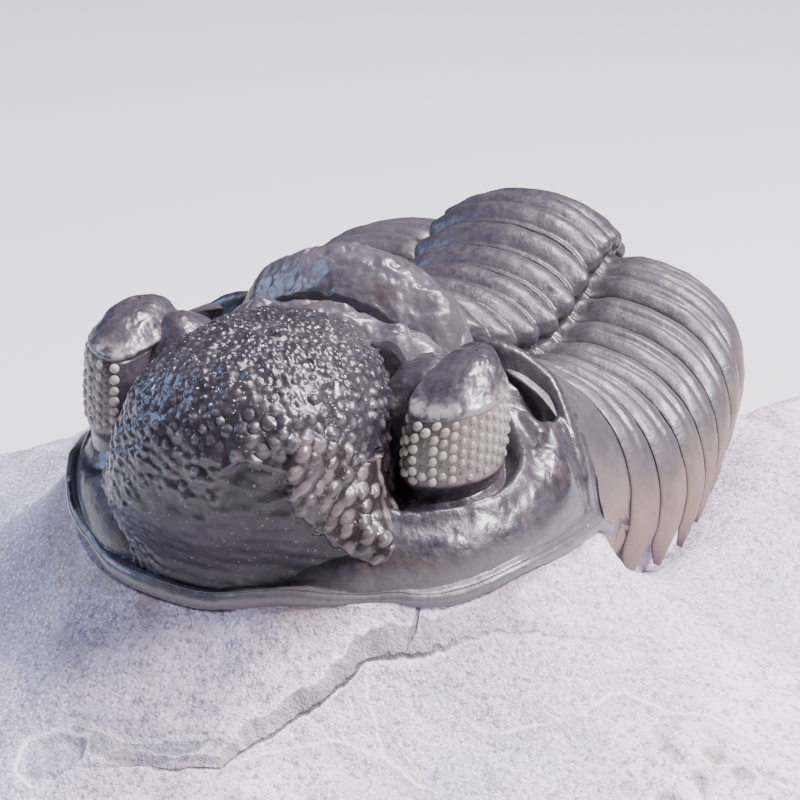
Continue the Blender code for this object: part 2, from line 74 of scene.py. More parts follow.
HEAD_HALF_WIDTH = 14.8
HEAD_RIGHT_SHARE = 0.925
HEAD_LENGTH = 15.8
HEAD_CORNER_Y = -0.4
HEAD_REAR_Y = 0.6
HEAD_SQUARENESS = 2.4
RIM_HEIGHT = 2.4
RIM_LEFT_RISE = 1.45
BORDER_WIDTH = 1.0
BORDER_THICKNESS = 0.6
BORDER_BULGE = 0.28
BORDER_STEPS = 7
REAR_RIDGE_HEIGHT = 10.0
# From the front to the rear: place, height of the cheek.
CHEEK_LEVELS = (
    (-17.0, 3.3), (-13.0, 4.1), (-9.5, 4.8), (-6.5, 5.5), (-4.3, 6.3), (-2.5, 7.2), (0.6, 8.0),
)

LOBE_CENTRE = np.array((-0.25, -10.2, 4.8))
LOBE_HALF_WIDTH = 6.6
LOBE_FORWARD = 7.3
LOBE_BACKWARD = 8.4
LOBE_UP = 7.1
LOBE_DOWN = 6.0
LOBE_BLUNTNESS = 2.6
# Seen from the front and measured from the lobe's centre: sideways, upward. It bounds the scales.
PATCH_OUTLINE = (
    (5.3, 4.0), (4.5, 3.85), (4.45, 2.6), (4.75, 1.4), (5.15, 0.15), (5.7, -0.55),
    (6.5, -1.45), (7.5, -2.05), (9.0, -2.3), (9.0, 1.6), (6.6, 1.95), (6.0, 3.3),
)
PEBBLE_SPACINGS = (0.28, 0.78)
PEBBLE_FULL_HEIGHT = 0.11

# Each ring: middle, half length, half width, height of its crown and its ends, dip, fall in front.
NECK_RING = (-1.5, 2.2, 6.3, 13.6, 10.2, 0.0, 2.0)
PREOCCIPITAL_RING = (-4.3, 1.3, 5.2, 12.2, 9.6, 0.8, 0.7)
# Each side lobe on the left: its centre, then its half sizes.
SIDE_LOBES = (
    ((4.35, -3.6, 8.7), (1.75, 1.5, 1.9)),
    ((2.4, -4.3, 9.2), (1.5, 1.1, 1.3)),
    ((5.6, -1.2, 8.4), (1.3, 1.3, 1.9)),
)

# By side: the eye's centre in plan and its shift in height, the turns in half circles where its
# lenses start and end, the heights they stand between, and its tilt.
EYES = {1: (9.15, -7.3, -0.5), -1: (9.5, -8.1, -0.7)}
LENS_TURNS = {1: (-0.8, 0.42), -1: (-0.56, 0.42)}
LENS_BANDS = {1: (6.15, 9.35), -1: (5.5, 9.35)}
EYE_TILTS = {1: 0.19, -1: 0.08}
EYE_HALF_LENGTH = 3.4
EYE_OUTER_BULGE = 2.05
EYE_INNER_BULGE = 1.95
EYE_BOW = 0.08
EYE_FOOT = 3.6
EYE_MIDDLE_HEIGHT = 8.0
LENS_FILE_PITCH = 0.49
LENS_ROW_PITCH = 0.55
LENS_RADIUS = 0.21
LENS_SINK = 0.04
SADDLE_HALVES = (2.8, 3.0, 4.45)

PLATE_COUNT = 11
PLATE_PITCH = 2.4
BODY_START = 1.4
TAIL_LENGTH = 8.5
TAIL_THICKNESS = 0.5
AXIS_HALF_WIDTH = 5.3
AXIS_HEIGHT = 3.0
FLANK_WIDTH = 9.7
FLANK_TURN = math.radians(108.0)
FLANK_DROP = 9.7
FLANK_SWEEP = (2.6, 2.0)
LEAN = math.radians(16.0)
CORE_FLOOR = -12.0
# Along the body: distance from the head, sideways place and height of the axis.
SPINE = (
    (0.0, 0.2, 8.6), (4.0, 0.8, 7.0), (8.0, 1.1, 6.6), (12.0, 1.0, 7.3), (16.0, 0.6, 8.5),
    (20.0, 0.0, 8.4), (24.0, -0.8, 7.1), (28.0, -1.6, 4.3), (32.0, -2.4, 1.6), (37.0, -3.3, -2.0),
)

# The stone's marks in plan. Each crack: width, depth, line. The first one is the dark notch.
CRACK_LINE = (
    (-1.4, -22.3), (-0.1, -21.9), (2.6, -22.5), (4.6, -22.2), (5.3, -21.0), (6.1, -20.1),
    (6.8, -19.2), (7.7, -18.1), (8.3, -17.2), (8.8, -16.1), (10.1, -15.3), (11.0, -14.4),
    (11.8, -13.6), (13.1, -12.0), (14.2, -11.1), (16.1, -9.3), (17.6, -7.5), (19.9, -6.0),
)
CRACKS = (
    (0.16, 0.15, ((10.1, -12.6), (10.3, -13.3), (10.35, -13.9), (10.3, -14.7))),
    (0.14, 0.08, (
        (8.9, -16.1), (9.4, -16.9), (10.0, -17.4), (11.2, -18.4), (12.6, -18.3), (14.6, -18.2),
    )),
    (0.12, 0.08, (
        (18.2, -12.0), (18.8, -10.3), (19.3, -9.7), (21.7, -9.6), (24.2, -8.4), (27.0, -7.8),
    )),
    (0.1, 0.07, ((14.2, -14.7), (15.4, -14.3), (16.8, -13.3))),
    (0.12, 0.07, ((5.5, -20.9), (2.6, -21.0), (0.2, -20.9), (-2.2, -21.0), (-4.7, -20.7))),
    (0.12, 0.08, ((24.0, -12.0), (25.6, -10.4), (27.5, -10.2), (30.0, -8.4))),
    (0.1, 0.07, ((4.6, -22.2), (6.6, -20.7), (9.0, -19.2), (11.2, -18.4))),
)
CHIP = (
    (-5.8, -23.7), (-6.2, -22.0), (-4.7, -21.3), (-3.2, -21.3), (-2.8, -22.3), (-3.1, -22.9),
    (-4.4, -24.2),
)
SHADED_STRIP = ((5.5, -21.0), (-4.6, -20.7), (-3.6, -22.2), (4.6, -22.2))
INNER_SHARES = (-0.5, -0.35, -0.2, -0.08)
STONE_MARKS = (
    "ledge", "ledge_strength", "vein", "vein_strength", "notched", "chip", "shaded", "pitted",
)

# The photograph's viewpoint. PHOTO_MIDDLE is the pixel that CAMERA_TARGET falls on.
PHOTO_SIZE = 800.0
PHOTO_MIDDLE = (292.34, 430.96)
PIXELS_PER_MM = 19.95
CAMERA_TARGET = Vector((0.0, -8.0, 6.0))
CAMERA_DISTANCE = 120.0
CAMERA_TURN = 28.84
CAMERA_RISE = 21.12
CAMERA_ROLL = math.radians(1.74)
SENSOR_WIDTH = 36.0

# In metres. Each light: name, turn from the front, rise, size, power, colour.
LIGHT_TARGET = Vector((0.0, 0.0, 0.03))
LIGHT_DISTANCE = 0.45
LIGHTS = (
    ("key_right", 98.0, 50.0, 0.12, 5.2, (1.0, 0.955, 0.985)),
    ("top", 150.0, 72.0, 0.12, 3.3, (0.98, 0.96, 1.0)),
    ("fill_left", -75.0, 25.0, 0.2, 1.0, (0.45, 0.6, 1.0)),
)
FLOOR_HALF_SIZE = 2.0
AIR_COLOUR = (0.78, 0.78, 0.9, 1.0)
AIR_STRENGTH = 0.08
CLIP_START = 0.005
CLIP_END = 10.0


# Small tools


def ease(low, high, value):
    """0 at low and 1 at high, with a smooth run between them. Low may be the larger of the two."""
    share = np.clip((value - low) / (high - low), 0.0, 1.0)
    return share * share * (3.0 - 2.0 * share)


def bell(value, width):
    return np.exp(-((value / width) ** 2))


def running(steps):
    """The running sum of steps, from 0."""
    return np.concatenate(([0.0], np.cumsum(steps)))


def lattice(first, second):
    """Every pairing of two rows of values, as two flat arrays."""
    return [grid.reshape(-1) for grid in np.meshgrid(first, second, indexing="ij")]


def through(points, column, distance):
    """A smooth curve through one column of a table whose first column is the distance."""
    table = np.array(points)
    distance = np.asarray(distance, float)
    place = table[:, 0]
    value = table[:, column]
    last = len(points) - 2
    index = np.clip(np.searchsorted(place, distance, side="left") - 1, 0, last)
    before = np.maximum(index - 1, 0)
    after = np.minimum(index + 2, last + 1)
    span = place[index + 1] - place[index]
    share = (distance - place[index]) / span
    slope_here = (value[index + 1] - value[before]) / (place[index + 1] - place[before]) * span
    slope_there = (value[after] - value[index]) / (place[after] - place[index]) * span
    squared = share * share
    cubed = squared * share
    return (
        value[index] * (2.0 * cubed - 3.0 * squared + 1.0)
        + slope_here * (cubed - 2.0 * squared + share)
        + value[index + 1] * (3.0 * squared - 2.0 * cubed)
        + slope_there * (cubed - squared)
    )


def noise_at(points, scale, shift=0.0):
    """Smooth noise, about -1 to 1, at an array of points. scale may differ by direction."""
    moved = np.asarray(points, float) * scale + shift
    return np.array([noise.noise(point) for point in moved.tolist()])


def fractal_at(points, scale, octaves, shift=0.0):
    total = np.zeros(len(points))
    for octave in range(octaves):
        total += noise_at(points, scale * 2.0**octave, shift + 11.0 * octave) / 2.0**octave
    return total


def relief_at(points, lumps, grain):
    """Lumps, given as depth, scale, octaves and shift, with a finer grain of depth, scale and shift."""
    return lumps[0] * fractal_at(points, *lumps[1:]) + grain[0] * noise_at(points, *grain[1:])


def to_line(x, y, line):
    """Distance to a polyline, side of it (positive to the right of its run) and share of its length."""
    best = np.full(x.shape, 1e9)
    side = np.zeros(x.shape)
    along = np.zeros(x.shape)
    for index in range(len(line) - 1):
        start = np.array(line[index])
        run = np.array(line[index + 1]) - start
        share = ((x - start[0]) * run[0] + (y - start[1]) * run[1]) / run.dot(run)
        share = np.clip(share, 0.0, 1.0)
        gap_x = x - start[0] - share * run[0]
        gap_y = y - start[1] - share * run[1]
        gap = np.hypot(gap_x, gap_y)
        nearer = gap < best
        best = np.where(nearer, gap, best)
        side = np.where(nearer, np.sign(run[1] * gap_x - run[0] * gap_y), side)
        along = np.where(nearer, (index + share) / (len(line) - 1), along)
    return best, side, along


def outline_depth(x, y, outline):
    """How deep points lie inside a closed outline, negative outside it."""
    inside = np.zeros(x.shape, bool)
    for (start_x, start_y), (end_x, end_y) in zip(outline, outline[1:] + outline[:1]):
        rise = end_y - start_y if end_y != start_y else 1e-9
        crossing = start_x + (y - start_y) * (end_x - start_x) / rise
        inside ^= ((start_y > y) != (end_y > y)) & (x < crossing)
    gap = to_line(x, y, outline + outline[:1])[0]
    return np.where(inside, gap, -gap)


def directions(tilts, turns):
    """Unit directions for every pairing of tilts from straight up with turns about that line."""
    tilt, turn = lattice(tilts, turns)
    return np.stack((np.sin(tilt) * np.cos(turn), np.sin(tilt) * np.sin(turn), np.cos(tilt)), axis=1)


def crowded(turns, weight, count):
    """Turns that stand closer together where the weight is larger."""
    run = running((weight[1:] + weight[:-1]) / 2.0)
    return np.interp(np.linspace(0.0, run[-1], count, endpoint=False), run, turns)


def lumpy_ball(rows, columns, centre, halves, lumps, grain):
    """Points of a stretched ball with relief. Its poles are straight up and straight down."""
    centre = np.array(centre)
    turns = np.linspace(0.0, 2.0 * math.pi, columns, endpoint=False)
    ball = directions(np.linspace(0.02, math.pi - 0.02, rows), turns)
    points = ball * np.array(halves) + centre
    outward = (points - centre) / np.linalg.norm(points - centre, axis=1)[:, None]
    return points + outward * relief_at(points, lumps, grain)[:, None]


def grid_faces(rows, columns, start=0, closed=False, flip=False):
    """Quads of a rows by columns lattice of points."""
    faces = []
    for row in range(rows - 1):
        here = start + row * columns
        for column in range(columns if closed else columns - 1):
            following = (column + 1) % columns
            face = (here + column, here + following, here + columns + following, here + columns + column)
            faces.append(face[::-1] if flip else face)
    return faces


def surface_normals(points, rows, columns, centre, closed=False):
    """Unit normals of a lattice of points, turned away from a centre."""
    grid = points.reshape(rows, columns, 3)
    down = np.gradient(grid, axis=0)
    if closed:
        across = (np.roll(grid, -1, axis=1) - np.roll(grid, 1, axis=1)) / 2.0
    else:
        across = np.gradient(grid, axis=1)
    normal = np.cross(across, down)
    length = np.linalg.norm(normal, axis=2, keepdims=True)
    normal = (normal / np.maximum(length, 1e-9)).reshape(-1, 3)
    away = (normal * (points - centre)).sum(axis=1)
    return normal * np.where(away < 0.0, -1.0, 1.0)[:, None]


def build(name, points, faces, material, *nodes, slot="fossil_shell", **marks):
    """A smooth mesh piece. Each mark is a number at each vertex, which the material reads by name."""
    mesh = bpy.data.meshes.new(name)
    placed = (np.asarray(points, float) - STONE_ORIGIN) * MM
    mesh.from_pydata(placed.tolist(), [], faces)
    mesh.validate()
    mesh.shade_smooth()
    made = bpy.data.objects.new(name, mesh)
    bpy.context.scene.collection.objects.link(made)
    for mark, values in marks.items():
        attribute = mesh.attributes.new(mark, "FLOAT", "POINT")
        attribute.data.foreach_set("value", np.asarray(values, np.float32))
    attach(made, "root")
    if nodes:
        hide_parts(*nodes)
    mesh.materials.append(material)
    return made


# Forms shared with the solids


def margin_height(x, y):
    """Height of the head's margin, which dips in front and behind and rises on the left."""
    near_side = ease(-2.0, 4.0, x)
    front_dip = 2.8 * ease(-8.5, -16.5, y)
    rear_dip = (1.7 - 0.8 * near_side) * ease(-7.5 + 4.5 * near_side, -0.8, y)
    rise = RIM_LEFT_RISE * ease(-1.0, 6.0, x) * ease(14.0, 8.5, x)
    return RIM_HEIGHT - front_dip - rear_dip + rise


def spread(x):
    """Distance from the midline, stretched on the narrower right side to the measure of the left."""
    return np.abs(x) / np.where(x < 0.0, HEAD_RIGHT_SHARE, 1.0)


def squareness(x):
    return HEAD_SQUARENESS + 0.4 * ease(0.0, 6.0, x)


def head_reach(x, y):
    """Share of the way from the head's middle to its margin, 1 on the margin."""
    power = squareness(x)
    sideways = spread(x) / HEAD_HALF_WIDTH
    forward = np.maximum(0.0, HEAD_CORNER_Y - y) / HEAD_LENGTH
    return (sideways**power + forward**power) ** (1.0 / power)


def front_margin(x):
    power = squareness(x)
    share = np.minimum(1.0, spread(x) / HEAD_HALF_WIDTH)
    arch = (1.0 - share**power) ** (1.0 / power)
    return HEAD_CORNER_Y - HEAD_LENGTH * arch + 0.35 * bell(spread(x) - 8.4, 1.6)


def rear_margin(x):
    return HEAD_REAR_Y - 1.8 * ease(10.0, HEAD_HALF_WIDTH, spread(x))


def rear_ridge_height(x):
    corner = margin_height(x, np.full_like(x, -1.0)) + 0.2
    share = np.minimum(1.0, spread(x) / HEAD_HALF_WIDTH)
    return corner + (REAR_RIDGE_HEIGHT - corner) * (1.0 - share**5.0)


def eye_gap(x, y):
    """How far a point in plan lies outside the outline of the eye on its side, roughly."""
    left = x > 0.0
    along = y - np.where(left, EYES[1][1], EYES[-1][1])
    across = np.abs(x) - (np.where(left, EYES[1][0], EYES[-1][0]) - EYE_BOW * along**2)
    bulge = np.where(across > 0.0, EYE_OUTER_BULGE, EYE_INNER_BULGE)
    ratio = np.hypot(across / bulge, along / EYE_HALF_LENGTH)
    return (ratio - 1.0) * 0.5 * (bulge + EYE_HALF_LENGTH) * np.where(ratio > 1.0, 0.85, 1.0)


def shield_height(x, y):
    """Height of the cheeks: rolled border, swollen cheek round the eye, furrow and ridge behind."""
    rim = margin_height(x, y)
    reach = spread(x)
    inward = (1.0 - head_reach(x, y)) * HEAD_HALF_WIDTH
    beside = ease(3.0, 8.0, reach)
    border = BORDER_WIDTH * (1.0 - 0.6 * beside)
    edge = np.clip(inward / border, 0.0, 1.0)
    roll = (0.34 - 0.2 * beside) * np.cos(math.pi / 2.0 * edge) ** 1.3
    roll *= ease(0.97, 0.85, reach / HEAD_HALF_WIDTH)
    dome = np.clip((inward - 0.8 * border) / 2.3, 0.0, 1.0)
    climb = (1.0 - (1.0 - dome) ** 2.2) ** 0.72
    plateau = through(CHEEK_LEVELS, 1, np.clip(y, -16.9, 0.5)) - 0.7 * (1.0 - ease(-1.0, 6.0, x))
    cheek = rim + roll + (plateau - rim) * climb
    gap = eye_gap(x, y)
    cheek += 0.35 * bell(gap - 1.0, 0.5) * climb - 0.6 * bell(gap - 0.12, 0.4) * climb
    behind = rear_margin(x) - y
    hollow = bell(behind - 2.6 + 0.3 * (reach - 10.2), 0.65)
    hollow *= ease(8.2, 9.4, reach) * ease(12.0, 10.9, reach)
    pit = bell(reach - 12.3, 0.5) * bell(behind - 2.3, 0.55)
    crest = rear_ridge_height(x)
    ridge = crest - 1.0 * ((behind - 0.9) / 0.95) ** 2
    raised = np.maximum(cheek, crest - 0.9) * ease(4.5, 2.5, behind) + cheek * ease(2.5, 4.5, behind)
    trough = np.minimum(raised, crest - 1.0 * ease(12.4, 10.6, reach) - 0.3)
    rear_part = np.maximum(np.maximum(ridge, np.minimum(trough, ridge + 1.3)), rim - 0.2)
    front_part = trough + (raised - trough) * ease(1.8, 3.6, behind)
    blend = ease(1.2, 2.0, behind)
    height = rear_part * (1.0 - blend) + front_part * blend - 1.1 * hollow - 0.35 * pit
    corner = ease(0.93, 0.99, reach / HEAD_HALF_WIDTH)
    return height * (1.0 - corner) + (rim + 0.15) * corner


def flank_section(place, width_share, drop_share):
    """A body section. place is 0 on the midline, 1 where the flank starts and 2 at its tip."""
    side = np.where(place < 0.0, -1.0, 1.0)
    place = np.abs(place)
    angle = np.minimum(place, 1.0) * math.pi / 2.0
    turn = np.clip(place - 1.0, 0.0, 1.0) * FLANK_TURN
    axis_across = AXIS_HALF_WIDTH * width_share * np.sin(angle)
    axis_up = AXIS_HEIGHT * width_share * np.maximum(np.cos(angle), 0.0) ** 0.9
    flank_across = (AXIS_HALF_WIDTH + FLANK_WIDTH * np.abs(np.sin(turn)) ** 0.9) * width_share
    fallen = ((1.0 - np.cos(turn)) / (1.0 - math.cos(FLANK_TURN))) ** 1.15
    on_axis = place <= 1.0
    across = np.where(on_axis, axis_across, flank_across)
    upward = np.where(on_axis, axis_up, -FLANK_DROP * drop_share * fallen)
    return side * across, upward, np.where(on_axis, 0.0, np.maximum(place - 1.0, 0.0) ** 2.5)


def section_normal(place, width_share, drop_share):
    step = 0.02
    low = flank_section(np.maximum(-2.0, place - step), width_share, drop_share)
    high = flank_section(np.minimum(2.0, place + step), width_share, drop_share)
    across = high[0] - low[0]
    upward = high[1] - low[1]
    length = np.maximum(np.hypot(across, upward), 1e-9)
    return -upward / length, across / length


def body_width(distance):
    return 0.93 + 0.07 * ease(0.0, 9.0, distance) - 0.17 * ease(15.0, 32.0, distance)


def body_drop(distance):
    return 1.0 + 0.08 * ease(8.0, 0.0, distance) - 0.24 * ease(5.0, 30.0, distance)


def body_point(distance, place, lift, width_share=None, drop_share=None):
    """Points of the body at a distance along it and a place across it, lifted off its surface."""
    width_share = body_width(distance) if width_share is None else width_share
    drop_share = body_drop(distance) if drop_share is None else drop_share
    across, upward, swept = flank_section(place, width_share, drop_share)
    out_x, out_z = section_normal(place, width_share, drop_share)
    across = across + out_x * lift
    upward = upward + out_z * lift
    lean = LEAN * ease(4.0, 38.0, distance)
    sweep = FLANK_SWEEP[0] + (FLANK_SWEEP[1] - FLANK_SWEEP[0]) * ease(0.0, 9.0, distance)
    x = through(SPINE, 1, distance) + across
    y = BODY_START + distance - sweep * swept + np.sin(lean) * upward
    return np.stack((x, y, through(SPINE, 2, distance) + np.cos(lean) * upward), axis=-1)


def tail_share(distance):
    """Share of the way along the tail, 0 on the plates in front of it."""
    return np.maximum(0.0, distance - PLATE_COUNT * PLATE_PITCH) / TAIL_LENGTH


def tail_bank(x, y):
    """How much higher the stone stands round the tail, where it meets the tail's margin."""
    beside = np.abs(x - through(SPINE, 1, np.clip(y, 0.0, 31.0))) - FOOTPRINT_HALF_WIDTH
    sides = 1.25 * ease(21.0, 25.0, y) * bell(np.maximum(0.0, beside), 5.0)
    rear = 3.5 * bell(x + 1.8, 3.4) * ease(29.0, 33.3, y)
    return (sides + rear) * ease(44.0, 35.0, y)


def mound_height(x, y):
    """The stone without its lumps: it falls away from the head's margin and from the flank tips."""
    outside = np.maximum(0.0, head_reach(x, y) - 1.0) * HEAD_HALF_WIDTH
    contact = 0.5 * np.exp(-outside / 1.8)
    outside = outside + 1.2 * np.exp(-outside / 4.0) * np.maximum(0.0, y - rear_margin(x) + 0.5)
    fall = 5.0 * (1.0 - np.exp(-outside / 5.0)) + 0.32 * outside
    head_part = margin_height(x, y) - BORDER_THICKNESS - 0.4 + contact - fall
    distance = np.clip(y, 0.0, 31.0)
    beside = np.abs(x - through(SPINE, 1, distance)) - FOOTPRINT_HALF_WIDTH
    ends = np.maximum(0.0, -y - 1.0) + np.maximum(0.0, y - 33.0)
    away = np.hypot(np.maximum(0.0, beside), ends)
    reach = distance + 1.5 * ease(8.0, 20.0, distance)
    hang = np.maximum(0.0, 1.0 - tail_share(reach) ** 2) ** 0.3
    tip = through(SPINE, 2, reach) - FLANK_DROP * body_drop(reach) * hang - 1.0
    tip = tip + 0.95 * ease(0.4, 1.8, beside) + tail_bank(x, y)
    left = tip + 2.0 * ease(0.8, 5.0, beside) - STONE_SLOPE_LEFT * away
    right = tip - 1.3 * ease(0.0, 6.0, beside) - STONE_SLOPE_RIGHT * away
    body_part = np.where(x > 0.0, left, right)
    blend = 1.2
    return blend * np.logaddexp(head_part / blend, body_part / blend) - 0.3


# The head shield


def make_cheeks(material):
    """The cheeks as one sheet, with the border rolled down and under round its whole edge."""
    columns, rows = CHEEK_GRID
    angle = (np.linspace(0.0, 1.0, columns) - 0.5) * math.pi * 0.97
    x_line = HEAD_HALF_WIDTH * np.sin(angle) * np.where(angle < 0.0, HEAD_RIGHT_SHARE, 1.0)
    x, share = lattice(x_line, 0.5 - 0.5 * np.cos(math.pi * np.linspace(0.0, 1.0, rows)))
    front = front_margin(x)
    y = front + (rear_margin(x) - front) * share
    top = np.stack((x, y, shield_height(x, y)), axis=1)
    inward = (1.0 - head_reach(x, y)) * HEAD_HALF_WIDTH
    relief = relief_at(top, (0.1, 0.55, 3, 3.0), (0.03, 2.6, 9.0))
    top[:, 2] += relief * ease(-0.2, 0.5, inward)
    rim = [column * rows for column in range(columns)]
    rim += [(columns - 1) * rows + row for row in range(1, rows)]
    rim += [column * rows + rows - 1 for column in range(columns - 2, -1, -1)]
    rim += range(rows - 2, 0, -1)
    edge = top[rim]
    out = edge[:, :2] - np.array((0.0, HEAD_CORNER_Y))
    out /= np.maximum(np.linalg.norm(out, axis=1, keepdims=True), 1e-6)
    low = margin_height(edge[:, 0], edge[:, 1]) - BORDER_THICKNESS
    rings = []
    for turn in np.linspace(0.0, math.pi, BORDER_STEPS)[1:]:
        ring = edge.copy()
        ring[:, 2] += (low - edge[:, 2]) * (1.0 - math.cos(turn)) / 2.0
        uneven = 0.05 * noise_at(ring, 1.3, 6.0) + 0.02 * noise_at(ring, 4.0, 2.0)
        ring[:, :2] += (BORDER_BULGE * math.sin(turn) + uneven)[:, None] * out
        rings.append(ring)
    tucked = rings[-1].copy()
    tucked[:, :2] -= 1.2 * out
    rings.append(tucked)
    faces = grid_faces(columns, rows)
    added = BORDER_STEPS * len(rim)
    corners = np.concatenate((rim, len(top) + np.arange(added))).reshape(-1, len(rim))
    after = np.roll(corners, -1, axis=1)
    for step in range(BORDER_STEPS):
        quads = (corners[step], corners[step + 1], after[step + 1], after[step])
        faces += np.stack(quads, axis=1).tolist()
    points = np.concatenate((top, *rings))
    inward = np.concatenate((inward, np.zeros(added)))
    build("cephalon_cheeks", points, faces, material, "cephalon", inward=inward)


# The swollen lobe


def seat_on_border(points):
    """The lobe's front wall brought down onto the inner edge of the border."""
    x, y, z = points.T
    above = z - margin_height(x, y)
    reach = np.maximum(head_reach(x, y), 0.1)
    wanted = 0.975 - 0.035 * ease(2.0, 7.0, np.abs(x))
    pulled = ease(4.6, 0.2, above) * (reach > wanted)
    pushed = ease(5.5, 0.3, above) * ease(0.7, 0.88, reach) * (reach <= wanted)
    share = 1.0 + (wanted / reach - 1.0) * np.maximum(pulled, pushed) * ease(-6.0, -9.5, y)
    x = x * share
    y = HEAD_CORNER_Y + (y - HEAD_CORNER_Y) * share
    floor = margin_height(x, y) - BORDER_THICKNESS / 2.0
    return np.stack((x, y, np.maximum(z, floor)), axis=1)


def lobe_surface(unit):
    """Points of the swollen lobe in unit directions, without its fine relief."""
    sideways, along, upward = unit.T
    norm = (np.abs(unit.T) ** LOBE_BLUNTNESS).sum(axis=0) ** (1.0 / LOBE_BLUNTNESS)
    y = along / norm * np.where(along < 0.0, LOBE_FORWARD, LOBE_BACKWARD)
    x = sideways / norm * LOBE_HALF_WIDTH * (1.0 - 0.33 * ease(0.0, LOBE_BACKWARD, y))
    z = upward / norm * np.where(upward > 0.0, LOBE_UP, LOBE_DOWN)
    x = x * (1.0 + 0.12 * ease(3.0, -3.0, z) + 0.26 * ease(0.5, -3.2, z) * (x > 0.0))
    z = z - 0.45 * ease(-1.5, -5.5, x) * ease(0.0, 3.0, z)
    points = np.stack((x, y, z), axis=1)
    swell = 1.0 + 0.14 * noise_at(points, 1.3) / LOBE_UP
    return seat_on_border(points * swell[:, None] + LOBE_CENTRE)


def scale_patch(points):
    """1 on the patch of brown scale-like granules on the lobe's left front, 0 elsewhere."""
    ragged = 0.22 * noise_at(points, 1.1, 21.0) + 0.12 * noise_at(points, 3.1, 5.0)
    x, y, z = (points - LOBE_CENTRE).T
    depth = outline_depth(x + ragged, z + ragged, PATCH_OUTLINE)
    return ease(-0.05, 0.12, depth) * ease(1.2, 0.2, y)


def scatter(points, spacing, random):
    """Indices of points that keep their own spacing from those chosen before, in a shuffled order."""
    cell = spacing.min()
    places = points.tolist()
    taken = {}
    chosen = []
    for index in random.permutation(len(points)):
        place = places[index]
        need = spacing[index]
        across, along, upward = (int(value // cell) for value in place)
        reach = math.ceil(need / cell)
        near = (
            other
            for dx, dy, dz in itertools.product(range(-reach, reach + 1), repeat=3)
            for other in taken.get((across + dx, along + dy, upward + dz), ())
        )
        if all(math.dist(places[other], place) >= need for other in near):
            chosen.append(index)
            taken.setdefault((across, along, upward), []).append(index)
    return chosen


def make_lobe(material):
    random = np.random.default_rng(SEED)
    rows, columns = LOBE_GRID
    turns = np.linspace(0.0, 2.0 * math.pi, 2000)
    turns = crowded(turns, 1.0 - 0.72 * ease(0.1, 0.75, np.sin(turns)), columns)
    base = lobe_surface(directions(np.linspace(0.015, 0.86 * math.pi, rows), turns))
    normal = surface_normals(base, rows, columns, LOBE_CENTRE, closed=True)
    patch = scale_patch(base)
    x, y, z = (base - LOBE_CENTRE).T
    step_line = 2.3 + 0.42 * np.cos(1.3 * (x - 3.2)) + 0.2 * noise_at(base, 0.8, 15.0)
    below = ease(0.06, -0.14, z - step_line) * ease(1.2, 2.4, x) * ease(-4.5, -3.0, z)
    # The lower front is smooth from wear; the material also darkens it as painted shade.
    worn_with_painted_shade = np.maximum(ease(1.6, -0.6, z) * ease(-4.4, -1.6, x), below) * (1.0 - patch)
    crown = ease(3.4, 5.6, z)
    large = ease(0.5, 2.5, x) * ease(1.6, 3.0, z) * ease(6.4, 5.2, z)
    netted = ease(-0.5, -3.0, x) * ease(4.5, 2.0, z)
    spacing = 0.47 - 0.14 * crown + 0.17 * np.maximum(large, patch) + 0.1 * noise_at(base, 0.9, 3.0)
    spacing = np.clip(spacing, *PEBBLE_SPACINGS)
    tree = kdtree.KDTree(len(base))
    for index, point in enumerate(base.tolist()):
        tree.insert(point, index)
    tree.balance()
    bumps = np.zeros(len(base))
    rings = np.zeros(len(base))
    tones = np.zeros(len(base))
    for index in scatter(base, spacing, random):
        centre = base[index]
        on_patch = patch[index]
        radius = spacing[index] * (0.4 + 0.14 * random.random())
        height = (0.045 + 0.085 * random.random() ** 1.4) * (1.0 - 0.94 * worn_with_painted_shade[index])
        height *= (1.0 + 0.6 * on_patch + 0.35 * large[index]) * (1.0 - 0.2 * crown[index])
        stretch = 1.0 + 0.7 * on_patch + 0.6 * netted[index]
        axis = np.array((-0.55, -0.3, -0.78) if on_patch > 0.5 else (1.0, -0.3, -0.6))
        axis -= normal[index] * normal[index].dot(axis)
        axis /= np.linalg.norm(axis)
        grooved = random.random() < 0.3 * large[index] * (1.0 - on_patch)
        tone = random.random()
        for _, near, _ in tree.find_range(centre.tolist(), radius * stretch * 1.6):
            gap = base[near] - centre
            lengthwise = gap.dot(axis) / stretch
            crosswise = math.sqrt(max(0.0, gap.dot(gap) - (lengthwise * stretch) ** 2))
            share = math.hypot(lengthwise, crosswise) / radius
            if share < 1.0:
                dome = height * (1.0 - share * share) ** 0.8
                dome *= 1.0 + 0.6 * on_patch * lengthwise / radius
                if dome > bumps[near]:
                    bumps[near] = dome
                    tones[near] = tone
            if grooved and share < 1.7:
                rings[near] = max(rings[near], bell(share - 1.2, 0.2))
    grain = relief_at(base, (0.04, 0.9, 2, 7.0), (0.02, 4.6, 2.0))
    grain = (grain + 0.03 * crown * noise_at(base, 2.7, 12.0)) * (1.0 - 0.65 * worn_with_painted_shade)
    folds = 0.5 - np.abs(noise_at(base * np.array((1.0, 1.0, 1.7)), 2.1, 4.0))
    ridges = 0.012 * np.sin(9.0 * z + 2.0 * noise_at(base, 0.7, 4.0))
    lift = 0.17 * patch + bumps - 0.06 * rings + grain + 0.08 * netted * folds * (1.0 - worn_with_painted_shade)
    lift += worn_with_painted_shade * ridges - 0.2 * below * (1.0 - patch)
    faces = grid_faces(rows, columns, closed=True)
    faces.append(tuple(range(columns))[::-1])
    faces.append(tuple(range((rows - 1) * columns, rows * columns)))
    relief = np.clip(bumps / PEBBLE_FULL_HEIGHT, 0.0, 1.0)
    marks = {"relief": relief, "tone": tones, "patch": patch, "worn_with_painted_shade": worn_with_painted_shade, "crown": crown}
    build("glabella", base + normal * lift[:, None], faces, material, **marks)


# The rings and lobes behind it


